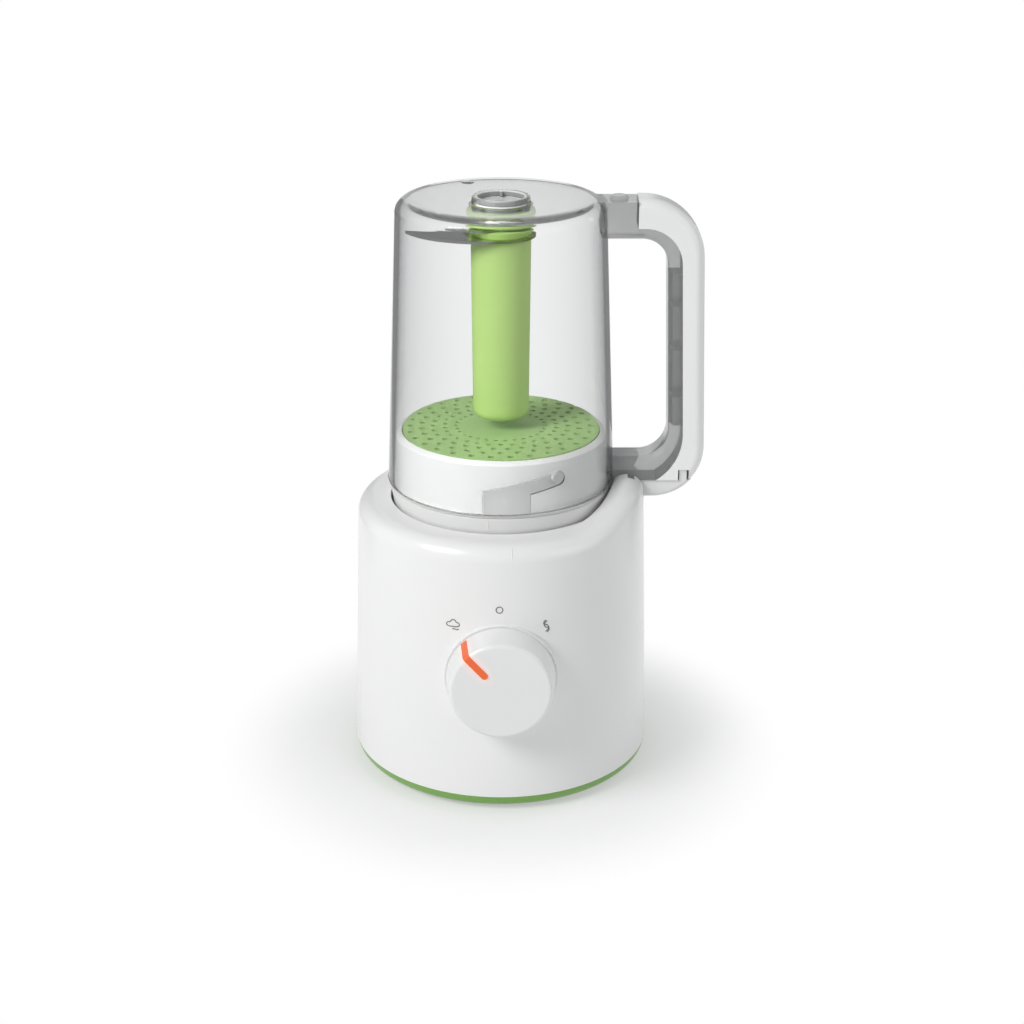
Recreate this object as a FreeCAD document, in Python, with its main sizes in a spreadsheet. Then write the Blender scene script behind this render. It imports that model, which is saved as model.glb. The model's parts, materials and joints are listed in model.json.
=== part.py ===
import FreeCAD, Part
import math
import os

import Sketcher
from FreeCAD import Placement, Rotation, Vector

# Baby food maker: a steamer and blender in one, standing in its steaming position.
# Millimetres. +Z up, the base's axis is Z, the floor is z = 0, the knob faces -Y, the handle is at +X.

doc = FreeCAD.newDocument("baby_food_maker")
sheet = doc.addObject("Spreadsheet::Sheet", "sizes")
sheet_names = []
nodes = []


class Size:
    """A length together with the sheet expression that it comes from."""

    def __init__(self, value, text):
        self.value = float(value)
        self.text = text

    def __float__(self):
        return self.value

    def __neg__(self):
        return Size(-self.value, "(0 - %s)" % self.text)

    def __add__(self, other):
        return Size(self.value + float(other), "(%s + %s)" % (self.text, text_of(other)))

    def __radd__(self, other):
        return Size(float(other) + self.value, "(%s + %s)" % (text_of(other), self.text))

    def __sub__(self, other):
        return Size(self.value - float(other), "(%s - %s)" % (self.text, text_of(other)))

    def __rsub__(self, other):
        return Size(float(other) - self.value, "(%s - %s)" % (text_of(other), self.text))

    def __mul__(self, other):
        return Size(self.value * float(other), "(%s * %s)" % (self.text, text_of(other)))

    def __rmul__(self, other):
        return Size(float(other) * self.value, "(%s * %s)" % (text_of(other), self.text))

    def __truediv__(self, other):
        return Size(self.value / float(other), "(%s / %s)" % (self.text, text_of(other)))


def text_of(value):
    """The expression text of a size, or of a plain number."""
    if isinstance(value, Size):
        return value.text
    return "(%.9f)" % value


def size(name, value, note):
    """Put one driving dimension in the sheet and return it."""
    sheet_names.append(name)
    row = len(sheet_names)
    sheet.set("A%d" % row, note)
    sheet.set("B%d" % row, str(value))
    sheet.setAlias("B%d" % row, name)
    return Size(value, "sizes." + name)


# Base shell
base_radius = size("base_radius", 79.6, "housing radius at its lower edge")
neck_radius = size("neck_radius", 75.0, "housing radius at the height of its top")
foot_height = size("foot_height", 2.2, "feet below the bottom cover")
cover_top = size("cover_top", 9.0, "joint between bottom cover and housing")
base_height = size("base_height", 147.0, "top of the housing")
shoulder_round = size("shoulder_round", 9.0, "rounding of the housing's shoulder")
wall = size("wall", 2.6, "moulded wall")
well_radius = size("well_radius", 58.0, "opening of the well")
lip_depth = size("lip_depth", 9.0, "housing lip inside the well")
well_floor = size("well_floor", 126.0, "upper face of the well's floor")
horn_crest = size("horn_crest", 161.6, "top of the horn beside the handle")
horn_start = size("horn_start", 33.0, "where the rim begins to rise to the horn")
horn_top_x = size("horn_top_x", 66.8, "where the rise reaches the crest")
horn_sweep = size("horn_sweep", 33.0, "radius of the hollow part of the rise")
horn_gap = size("horn_gap", 60.0, "inner face of the horn")
rear_cheek = size("rear_cheek", 155.6, "top of the lower cheek behind the handle")
channel_half = size("channel_half", 10.9, "half width of the channel for the handle's arm")
boss_radius = size("boss_radius", 28.5, "seat of the knob")
boss_face = size("boss_face", 78.2, "front face of the knob's seat")
cover_screw_ring = size("cover_screw_ring", 66.0, "circle of the cover screws")
foot_ring = size("foot_ring", 58.0, "circle of the feet")
foot_radius = size("foot_radius", 7.0, "rubber foot")
gland_height = size("gland_height", 24.0, "height of the cord gland")
gland_bore = size("gland_bore", 3.5, "bore of the cord gland")

# Knob
knob_height = size("knob_height", 77.6, "height of the knob's axis")
knob_skirt = size("knob_skirt", 27.6, "knob radius at its back")
knob_face_radius = size("knob_face_radius", 25.7, "knob radius at its face")
knob_back = size("knob_back", 78.7, "back of the knob")
knob_front = size("knob_front", 94.6, "face of the knob")
pointer_width = size("pointer_width", 3.4, "width of the pointer")
pointer_end = size("pointer_end", 1.6, "rounding of the pointer's inner end")
pointer_depth = size("pointer_depth", 1.2, "depth of the pointer's groove")
pointer_proud = size("pointer_proud", 0.5, "how far the pointer stands out")
pointer_inner = size("pointer_inner", 10.5, "inner end of the pointer")
switch_shaft_radius = size("switch_shaft_radius", 3.0, "shaft of the rotary switch")

# Drive
shaft_radius = size("shaft_radius", 4.0, "motor shaft")
shaft_low = size("shaft_low", 24.0, "lower end of the motor shaft")
shaft_high = size("shaft_high", 137.0, "upper end of the motor shaft")
running_fit = size("running_fit", 0.05, "radial clearance of a shaft in its bearing")
stator_half = size("stator_half", 25.0, "half side of the stator")
stator_low = size("stator_low", 60.0, "lower face of the stator")
stator_high = size("stator_high", 92.0, "upper face of the stator")
armature_radius = size("armature_radius", 17.0, "armature")
lower_bracket_z = size("lower_bracket_z", 38.0, "lower bearing bracket")
upper_bracket_z = size("upper_bracket_z", 101.0, "upper bearing bracket")
bracket_thick = size("bracket_thick", 3.0, "bearing brackets")
motor_screw_at = size("motor_screw_at", 19.0, "motor screws from the axis, each way")
post_ring = size("post_ring", 38.0, "circle of the posts that hold the motor")
coupling_radius = size("coupling_radius", 11.4, "base coupling")
coupling_low = size("coupling_low", 130.4, "lower face of the base coupling")
coupling_high = size("coupling_high", 142.0, "upper face of the base coupling")
fan_radius = size("fan_radius", 25.0, "cooling fan")

# Boiler and steam
boiler_x = size("boiler_x", -21.1, "boiler axis")
boiler_y = size("boiler_y", 45.3, "boiler axis")
boiler_radius = size("boiler_radius", 20.0, "boiler tank")
boiler_low = size("boiler_low", 36.0, "bottom of the boiler")
boiler_high = size("boiler_high", 110.0, "upper edge of the boiler tank")
filler_x = size("filler_x", -18.8, "filler neck axis")
filler_y = size("filler_y", 33.6, "filler neck axis")
filler_radius = size("filler_radius", 8.0, "filler neck outside")
steam_x = size("steam_x", 14.0, "steam nozzle axis")
steam_y = size("steam_y", 40.0, "steam nozzle axis")
steam_start_x = size("steam_start_x", -7.0, "where the steam tube leaves the boiler")
nozzle_radius = size("nozzle_radius", 4.5, "steam nozzle")
tube_radius = size("tube_radius", 3.0, "steam tube")
tube_level = size("tube_level", 118.2, "level run of the steam tube")

# Interlock
plunger_x = size("plunger_x", 66.0, "interlock plunger axis")
plunger_radius = size("plunger_radius", 2.0, "interlock plunger")
plunger_low = size("plunger_low", 130.0, "lower end of the plunger")
plunger_travel = size("plunger_travel", 2.0, "travel of the plunger")
board_x = size("board_x", 52.0, "inner face of the control board")
board_low = size("board_low", 30.0, "lower edge of the control board")
board_high = size("board_high", 84.0, "upper edge of the control board")

# Lid
lid_low = size("lid_low", 130.0, "lower edge of the lid's skirt")
lid_band_top = size("lid_band_top", 155.2, "shoulder under the jar seal")
lid_band_radius = size("lid_band_radius", 58.2, "lid radius at that shoulder")
plug_radius = size("plug_radius", 55.5, "lid's plug at the shoulder")
plug_top_radius = size("plug_top_radius", 54.5, "lid's plug at its top")
plug_top = size("plug_top", 182.0, "top of the plug's side")
rim_top = size("rim_top", 184.2, "top of the lid's rim")
sieve_radius = size("sieve_radius", 51.0, "sieve")
sieve_thick = size("sieve_thick", 1.7, "sieve")
web_top = size("web_top", 150.2, "floor of the lid")
pin_height = size("pin_height", 174.0, "bayonet pins")
pin_radius = size("pin_radius", 2.9, "bayonet pins")
pin_reach = size("pin_reach", 56.9, "outer end of the bayonet pins")
tab_half = size("tab_half", 8.6, "half width of the lid's tab")
tab_low = size("tab_low", 147.4, "underside of the tab")
tab_top = size("tab_top", 156.8, "upper face of the tab")
key_inner = size("key_inner", 92.8, "inner face of the tab's key")
key_outer = size("key_outer", 96.6, "outer face of the tab's key")
key_top = size("key_top", 162.5, "top of the tab's key")

# Jar and handle
jar_low = size("jar_low", 157.2, "open edge of the jar")
jar_low_radius = size("jar_low_radius", 58.9, "jar radius at the open edge")
jar_high = size("jar_high", 303.8, "crest of the jar's closed end")
jar_high_radius = size("jar_high_radius", 52.7, "jar radius at that height, before rounding")
jar_wall = size("jar_wall", 2.6, "jar wall")
jar_round = size("jar_round", 6.8, "rounding of the closed end")
rim_radius = size("rim_radius", 45.4, "rim round the dished end")
dish_floor = size("dish_floor", 301.6, "lowest of the dished end")
gate_ring = size("gate_ring", 40.5, "circle of the moulding gate")
gate_radius = size("gate_radius", 3.2, "moulding gate")
socket_top = size("socket_top", 304.8, "rim of the coupling's socket")
socket_floor = size("socket_floor", 299.0, "floor of the coupling's socket")
socket_radius = size("socket_radius", 13.2, "socket for the coupling")
handle_half = size("handle_half", 9.8, "half width of the handle")
handle_top = size("handle_top", 305.0, "top of the handle cover")
arm_top = size("arm_top", 303.4, "top of the clear upper arm")
cover_start = size("cover_start", 68.0, "where the handle cover begins")
grip_outer_high = size("grip_outer_high", 100.6, "outer face of the grip, at its upper corner")
grip_outer_low = size("grip_outer_low", 106.2, "outer face of the grip, at its lower corner")
grip_joint_high = size("grip_joint_high", 89.8, "joint of frame and cover, at its upper corner")
grip_joint_low = size("grip_joint_low", 94.8, "joint of frame and cover, at its lower corner")
joint_top = size("joint_top", 290.3, "upper run of that joint")
joint_low = size("joint_low", 152.5, "lower run of that joint, before it is cut off")
frame_low = size("frame_low", 157.2, "underside of the lower arm")
gap_top = size("gap_top", 284.5, "top of the finger gap")
gap_low = size("gap_low", 169.5, "bottom of the finger gap")
gap_side_high = size("gap_side_high", 82.9, "outer side of the finger gap, at its top")
gap_side_low = size("gap_side_low", 86.7, "outer side of the finger gap, at its bottom")
cover_wall = size("cover_wall", 2.6, "wall of the handle cover")

# Blade unit
hub_radius = size("hub_radius", 15.2, "blade hub tube")
hub_low = size("hub_low", 190.0, "closed end of the hub tube")
hub_high = size("hub_high", 284.8, "where the lower blade sits")
blade_thick = size("blade_thick", 1.4, "blades")
blade_seat = size("blade_seat", 12.4, "bore of the lower blade")
collar_radius = size("collar_radius", 17.4, "flange on the blade stack")
collar_high = size("collar_high", 290.4, "where the upper blade sits")
nut_top = size("nut_top", 295.9, "top of the upper flange")
lower_reach = size("lower_reach", 48.6, "tip of the lower blade")
upper_reach = size("upper_reach", 30.0, "tip of the upper blade")
upper_seat = size("upper_seat", 6.0, "bore of the upper blade")
spindle_radius = size("spindle_radius", 4.0, "spindle through the jar's end")
jar_coupling_radius = size("jar_coupling_radius", 12.9, "coupling in the jar's end")
jar_coupling_low = size("jar_coupling_low", 300.6, "lower face of the jar coupling")
jar_coupling_high = size("jar_coupling_high", 302.8, "upper face of the jar coupling")


def bind(thing, path, value):
    """Bind one property to a size."""
    thing.setExpression(path, text_of(value))


def new_body(label):
    """An empty body, kept as a sub-part under its label."""
    body = doc.addObject("PartDesign::Body", label)
    nodes.append(body)
    return body


def origin_of(body, role):
    """One of a body's own origin planes or axes."""
    return next(item for item in body.Origin.OriginFeatures if item.Role == role)


def new_sketch(body, name, role, offset=0.0, turn=0.0):
    """A sketch on an origin plane, moved along the plane's normal, or turned about the upright axis."""
    sketch = body.newObject("Sketcher::SketchObject", name)
    sketch.AttachmentSupport = (origin_of(body, role), [""])
    sketch.MapMode = "FlatFace"
    lean = math.radians(turn)
    sketch.AttachmentOffset = Placement(Vector(), Rotation(Vector(0, 1, 0), turn))
    bind(sketch, "AttachmentOffset.Base.x", offset * math.sin(lean))
    bind(sketch, "AttachmentOffset.Base.z", offset * math.cos(lean))
    return sketch


class Rules:
    """Collects the constraints of a sketch and binds their sizes in one go."""

    def __init__(self, sketch):
        self.sketch = sketch
        self.constraints = []
        self.bindings = []

    def add(self, kind, *items):
        self.constraints.append(Sketcher.Constraint(kind, *items))

    def measure(self, kind, *items):
        value = items[-1]
        self.bindings.append((len(self.constraints), value))
        self.constraints.append(Sketcher.Constraint(kind, *items[:-1], float(value)))

    def place(self, shape, end, spot):
        """Fix a point by its distances from the sketch's origin."""
        across, up = spot
        if abs(float(across)) < 1e-9:
            self.add("PointOnObject", shape, end, -2)
        else:
            self.measure("DistanceX", -1, 1, shape, end, across)
        if abs(float(up)) < 1e-9:
            self.add("PointOnObject", shape, end, -1)
        else:
            self.measure("DistanceY", -1, 1, shape, end, up)

    def apply(self):
        first = self.sketch.ConstraintCount
        self.sketch.addConstraint(self.constraints)
        for index, value in self.bindings:
            if isinstance(value, Size):
                bind(self.sketch, "Constraints[%d]" % (first + index), value)


def turned_arc(centre, start, end):
    """A circular arc, anticlockwise from start to end."""
    radius = (start - centre).Length
    first = math.atan2(start.y - centre.y, start.x - centre.x)
    last = math.atan2(end.y - centre.y, end.x - centre.x)
    if last < first:
        last += 2 * math.pi
    return Part.ArcOfCircle(Part.Circle(centre, Vector(0, 0, 1), radius), first, last)


def draw_circle(sketch, across, up, radius):
    """A circle with its centre and radius bound."""
    middle = Vector(float(across), float(up), 0)
    circle = sketch.addGeometry(Part.Circle(middle, Vector(0, 0, 1), float(radius)), False)
    rules = Rules(sketch)
    rules.measure("Radius", circle, radius)
    rules.place(circle, 3, (across, up))
    rules.apply()


def draw_outline(sketch, corners):
    """A closed outline through corners (across, up) or (across, up, rounding)."""
    count = len(corners)
    spots = [Vector(float(corner[0]), float(corner[1]), 0) for corner in corners]
    arrive, leave, middles, lefts = list(spots), list(spots), {}, {}
    for i, corner in enumerate(corners):
        if len(corner) < 3:
            continue
        back = (spots[i - 1] - spots[i]).normalize()
        ahead = (spots[(i + 1) % count] - spots[i]).normalize()
        half = back.getAngle(ahead) / 2
        radius = float(corner[2])
        arrive[i] = spots[i] + back * (radius / math.tan(half))
        leave[i] = spots[i] + ahead * (radius / math.tan(half))
        middles[i] = spots[i] + (back + ahead).normalize() * (radius / math.sin(half))
        lefts[i] = back.cross(ahead).z < 0
    lines = []
    for i in range(count):
        line = Part.LineSegment(leave[i], arrive[(i + 1) % count])
        lines.append(sketch.addGeometry(line, False))
    rules = Rules(sketch)
    for i, corner in enumerate(corners):
        if i not in middles:
            rules.add("Coincident", lines[i - 1], 2, lines[i], 1)
            rules.place(lines[i], 1, corner)
            continue
        ends = (arrive[i], leave[i]) if lefts[i] else (leave[i], arrive[i])
        arc = sketch.addGeometry(turned_arc(middles[i], *ends), False)
        tip = sketch.addGeometry(Part.Point(spots[i]), True)
        rules.add("Tangent", lines[i - 1], 2, arc, 1 if lefts[i] else 2)
        rules.add("Tangent", arc, 2 if lefts[i] else 1, lines[i], 1)
        rules.measure("Radius", arc, corner[2])
        rules.add("PointOnObject", tip, 1, lines[i - 1])
        rules.add("PointOnObject", tip, 1, lines[i])
        rules.place(tip, 1, corner[:2])
    rules.apply()


def revolve(body, name, corners):
    """Turn an outline (radius, height) about the body's Z axis."""
    sketch = new_sketch(body, name + "_section", "XZ_Plane")
    draw_outline(sketch, corners)
    feature = body.newObject("PartDesign::Revolution", name)
    feature.Profile = sketch
    feature.ReferenceAxis = (sketch, ["V_Axis"])
    feature.Angle = 360
    return feature


def groove(body, name, corners):
    """Cut an outline (radius, height) all round the body's Z axis."""
    sketch = new_sketch(body, name + "_section", "XZ_Plane")
    draw_outline(sketch, corners)
    feature = body.newObject("PartDesign::Groove", name)
    feature.Profile = sketch
    feature.ReferenceAxis = (sketch, ["V_Axis"])
    feature.Angle = 360
    return feature


def extrude(body, kind, name, sketch, length, both=False, reverse=False):
    """A Pad or a Pocket of a sketch."""
    feature = body.newObject("PartDesign::" + kind, name)
    feature.Profile = sketch
    bind(feature, "Length", length)
    feature.Midplane = both
    feature.Reversed = reverse
    return feature


def pad_circle(body, name, spot, radius, low, high):
    """Add an upright cylinder between two heights."""
    sketch = new_sketch(body, name + "_circle", "XY_Plane", low)
    draw_circle(sketch, spot[0], spot[1], radius)
    return extrude(body, "Pad", name, sketch, high - low)


def drill(body, name, spot, radius, low, high):
    """Cut an upright cylinder between two heights."""
    sketch = new_sketch(body, name + "_circle", "XY_Plane", low)
    draw_circle(sketch, spot[0], spot[1], radius)
    return extrude(body, "Pocket", name, sketch, high - low, reverse=True)


def pad_outline(body, name, corners, low, high):
    """Add a plate with a given plan outline between two heights."""
    sketch = new_sketch(body, name + "_outline", "XY_Plane", low)
    draw_outline(sketch, corners)
    return extrude(body, "Pad", name, sketch, high - low)


def cut_outline(body, name, corners, low, high):
    """Cut a plan outline between two heights."""
    sketch = new_sketch(body, name + "_outline", "XY_Plane", low)
    draw_outline(sketch, corners)
    return extrude(body, "Pocket", name, sketch, high - low, reverse=True)


def pad_side(body, name, corners, half):
    """Add a front-view outline, as wide to the front as to the back."""
    sketch = new_sketch(body, name + "_outline", "XZ_Plane")
    draw_outline(sketch, corners)
    return extrude(body, "Pad", name, sketch, half * 2, both=True)


def cut_side(body, name, corners, half):
    """Cut a front-view outline, as deep to the front as to the back."""
    sketch = new_sketch(body, name + "_outline", "XZ_Plane")
    draw_outline(sketch, corners)
    return extrude(body, "Pocket", name, sketch, half * 2, both=True)


def rectangle(left, low, right, high, rounding=None):
    """The corners of an upright rectangle."""
    corners = [(left, low), (right, low), (right, high), (left, high)]
    if rounding is None:
        return corners
    return [corner + (rounding,) for corner in corners]


def repeat(body, features, count):
    """Repeat features evenly about the body's Z axis."""
    pattern = body.newObject("PartDesign::PolarPattern", features[0].Name + "_ring")
    pattern.Originals = features
    pattern.Axis = (origin_of(body, "Z_Axis"), [""])
    pattern.Angle = 360
    pattern.Occurrences = count
    body.Tip = pattern
    return pattern


def round_edges(body, name, radius, chosen):
    """Round the edges of the body's last feature that a test on their middle point picks."""
    doc.recompute()
    last = body.Tip
    picked = []
    for number, edge in enumerate(last.Shape.Edges, 1):
        middle = edge.valueAt((edge.FirstParameter + edge.LastParameter) / 2)
        if chosen(edge, middle):
            picked.append("Edge%d" % number)
    if not picked:
        raise RuntimeError("no edge to round for " + name)
    fillet = body.newObject("PartDesign::Fillet", name)
    fillet.Base = (last, picked)
    bind(fillet, "Radius", radius)
    return fillet


def set_at(body, across=0.0, deep=0.0, up=0.0, turn=None):
    """Place a finished body."""
    if turn is not None:
        body.Placement = Placement(Vector(), turn)
    bind(body, "Placement.Base.x", across)
    bind(body, "Placement.Base.y", deep)
    bind(body, "Placement.Base.z", up)


def polar(radius, degrees):
    """A point on a circle about the Z axis."""
    angle = math.radians(degrees)
    return (radius * math.cos(angle), radius * math.sin(angle))


def wall_radius(height):
    """Outer radius of the housing's cone at a height."""
    return base_radius - (height - cover_top) * ((base_radius - neck_radius) / (base_height - cover_top))


def rising_rim(body, name, crest):
    """Cut the housing's top to a rim that is flat, then sweeps up to the horn's crest."""
    sketch = new_sketch(body, name + "_outline", "XZ_Plane")
    run = float(horn_top_x) - float(horn_start)
    rise = float(crest) - float(base_height)
    hollow = float(horn_sweep)
    crown = (run * run + rise * rise) / (2 * rise) - hollow
    foot = Vector(float(horn_start), float(base_height), 0)
    top = Vector(float(horn_top_x), float(crest), 0)
    low_middle = foot + Vector(0, hollow, 0)
    high_middle = top - Vector(0, crown, 0)
    meet = low_middle + (high_middle - low_middle) * (hollow / (hollow + crown))
    far = float(base_radius) + 20
    roof = float(crest) + 30
    path = [top, Vector(far, top.y, 0), Vector(far, roof, 0), Vector(-far, roof, 0),
            Vector(-far, foot.y, 0), foot]
    rise_low = sketch.addGeometry(turned_arc(low_middle, foot, meet), False)
    rise_high = sketch.addGeometry(turned_arc(high_middle, top, meet), False)
    lines = [sketch.addGeometry(Part.LineSegment(a, b), False) for a, b in zip(path, path[1:])]
    rules = Rules(sketch)
    rules.add("Tangent", rise_low, 2, rise_high, 2)
    rules.add("Vertical", rise_low, 3, rise_low, 1)
    rules.add("Vertical", rise_high, 3, rise_high, 1)
    rules.measure("Radius", rise_low, horn_sweep)
    rules.place(rise_low, 1, (horn_start, base_height))
    rules.place(rise_high, 1, (horn_top_x, crest))
    rules.add("Coincident", rise_high, 1, lines[0], 1)
    rules.add("Coincident", lines[-1], 2, rise_low, 1)
    corners = [(base_radius + 20, crest), (base_radius + 20, crest + 30),
               (-(base_radius + 20), crest + 30), (-(base_radius + 20), base_height)]
    for i, corner in enumerate(corners):
        rules.add("Coincident", lines[i], 2, lines[i + 1], 1)
        rules.place(lines[i + 1], 1, corner)
    rules.apply()
    return extrude(body, "Pocket", name, sketch, (base_radius + 20) * 2, both=True)


def make_housing():
    """White housing: a tapered shell, a rounded shoulder, a rim that rises to the horn, the knob's seat."""
    body = new_body("base_housing")
    crest_radius = wall_radius(horn_crest)
    revolve(body, "housing_cone", [(0, cover_top), (base_radius, cover_top), (crest_radius, horn_crest),
                                   (0, horn_crest)])
    rising_rim(body, "housing_rim", horn_crest)
    outer = float(neck_radius) - 1.5
    round_edges(body, "housing_shoulder", shoulder_round,
                lambda edge, p: p.z > float(base_height) - 1 and math.hypot(p.x, p.y) > outer)
    inside = base_height - wall
    groove(body, "housing_well", [(0, cover_top), (well_radius, cover_top), (well_radius, base_height + 40),
                                  (0, base_height + 40)])
    lip = well_radius + wall
    lip_low = base_height - lip_depth
    groove(body, "housing_hollow", [(well_radius - 1, cover_top - 1), (base_radius - wall, cover_top - 1),
                                    (neck_radius - wall, inside, shoulder_round - wall + 2), (lip, inside),
                                    (lip, lip_low), (well_radius - 1, lip_low)])
    groove(body, "horn_face", [(well_radius - 1, base_height), (horn_gap, base_height),
                               (horn_gap, horn_crest + 5), (well_radius - 1, horn_crest + 5)])
    far = base_radius + 20
    above = horn_crest + 5
    cut_outline(body, "arm_channel", rectangle(40.0, -channel_half, far, channel_half), base_height, above)
    cut_outline(body, "rear_cheek_top", rectangle(20.0, channel_half - 1, far, far), rear_cheek, above)
    notch_width = 3.6
    notch_depth = 3.8
    notch_left = horn_top_x - 1.2
    notch = rectangle(notch_left, -(channel_half + 4), notch_left + notch_width, 1 - channel_half)
    cut_outline(body, "horn_notch", notch, horn_crest - notch_depth, above)
    seat = new_sketch(body, "knob_seat_circle", "XZ_Plane", boss_face - 8)
    draw_circle(seat, 0, knob_height, boss_radius)
    extrude(body, "Pad", "knob_seat", seat, 8.0)
    seat_back = new_sketch(body, "seat_back_circle", "XZ_Plane", boss_face - 8.5)
    draw_circle(seat_back, 0, knob_height, boss_radius - wall)
    extrude(body, "Pocket", "seat_back", seat_back, 8.5 - wall, reverse=True)
    shaft_hole = new_sketch(body, "switch_hole_circle", "XZ_Plane", boss_face - 10)
    draw_circle(shaft_hole, 0, knob_height, switch_shaft_radius + 1.2)
    extrude(body, "Pocket", "switch_hole", shaft_hole, 14.0, reverse=True)
    gland_hole = new_sketch(body, "gland_hole_circle", "XZ_Plane", -(base_radius + 5))
    draw_circle(gland_hole, 0, gland_height, gland_bore + 2.1)
    extrude(body, "Pocket", "gland_hole", gland_hole, 20.0, reverse=True)
    drill(body, "plunger_hole", (plunger_x, 0), plunger_radius + 0.3, base_height - 15, base_height + 5)
    post_spot = polar(cover_screw_ring, 270)
    post_top = cover_top + 24
    post = pad_circle(body, "screw_post", post_spot, 4.5, cover_top - 4.2, post_top)
    rib_plan = rectangle(-1.5, 2 - base_radius, 1.5, -(cover_screw_ring + 2))
    rib = pad_outline(body, "post_rib", rib_plan, cover_top + 3.5, post_top)
    pilot = drill(body, "post_pilot", post_spot, 1.9, cover_top - 5, cover_top + 16)
    repeat(body, [post, rib, pilot], 3)


def make_well():
    """Cup that closes the top of the base, with the shaft collar, filler hole, steam hole and motor posts."""
    body = new_body("jar_well")
    top = base_height - lip_depth
    under = well_floor - wall
    sleeve, sleeve_out, sleeve_top = 9.0, 12.0, well_floor + 3
    revolve(body, "well_cup", [(sleeve, under), (well_radius + 1.4, under, 4.0), (well_radius + wall, top),
                               (well_radius - 0.4, top), (well_radius - 1.0, well_floor, 3.0),
                               (sleeve_out, well_floor), (sleeve_out, sleeve_top), (sleeve, sleeve_top)])
    drill(body, "filler_hole", (filler_x, filler_y), filler_radius, under - 1, well_floor + 1)
    drill(body, "steam_hole", (steam_x, steam_y), nozzle_radius + 0.5, under - 1, well_floor + 1)
    post_low = upper_bracket_z + bracket_thick
    for turn in POST_TURNS:
        spot = polar(post_ring, turn)
        pad_circle(body, "motor_post_%d" % turn, spot, 4.0, post_low, under + 0.5)
        drill(body, "motor_pilot_%d" % turn, spot, 1.6, post_low - 1, post_low + 10)


POST_TURNS = (20, 200, 290)


def make_bottom():
    """Green bottom cover with its air slots, rubber feet and screws."""
    body = new_body("bottom_cover")
    floor = foot_height + wall
    spigot = base_radius - wall - 0.3
    spigot_top = cover_top + 3
    revolve(body, "cover_dish", [(0, foot_height), (base_radius - 1.4, foot_height, 6.0),
                                 (base_radius, cover_top), (spigot, cover_top), (spigot, spigot_top),
                                 (base_radius - 5, spigot_top), (base_radius - 5.6, floor, 3.0), (0, floor)])
    slot = cut_outline(body, "air_slot", rectangle(20.0, -1.6, 44.0, 1.6, 1.5), foot_height - 1, floor + 1)
    repeat(body, [slot], 12)
    hole = drill(body, "screw_hole", polar(cover_screw_ring, 270), 2.2, foot_height - 1, floor + 1)
    seat = drill(body, "screw_seat", polar(cover_screw_ring, 270), 4.2, foot_height - 1, foot_height + 1.2)
    repeat(body, [hole, seat], 3)

    feet = new_body("rubber_feet")
    foot = pad_circle(feet, "foot", polar(foot_ring, 45), foot_radius, Size(0, "0"), foot_height)
    round_edges(feet, "foot_edge", 0.8, lambda edge, p: p.z < 0.1)
    repeat(feet, [foot, feet.Tip], 4)

    screws = new_body("cover_screws")
    head = pad_circle(screws, "cover_screw_head", polar(cover_screw_ring, 270), 3.8, foot_height + 0.2,
                      foot_height + 1.2)
    shank = pad_circle(screws, "cover_screw_shank", polar(cover_screw_ring, 270), 1.9, foot_height + 1,
                       cover_top + 14)
    repeat(screws, [head, shank], 3)


def make_gland():
    """Rubber gland in the rear wall."""
    body = new_body("cord_gland")
    face = wall_radius(gland_height)
    neck, collar, flange = gland_bore + 2, gland_bore + 4, gland_bore + 4.2
    revolve(body, "gland_ring", [(gland_bore, face - 5.5), (collar, face - 5.5), (collar, face - 3.4),
                                 (neck, face - 3.4), (neck, face + 0.5), (flange, face + 0.5),
                                 (flange - 0.8, face + 2.6, 0.8), (gland_bore, face + 2.6)])
    set_at(body, up=gland_height, turn=Rotation(Vector(1, 0, 0), -90))


KNOB_TURN = Rotation(Vector(1, 0, 0), 90) * Rotation(Vector(0, 0, 1), 132)


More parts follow.
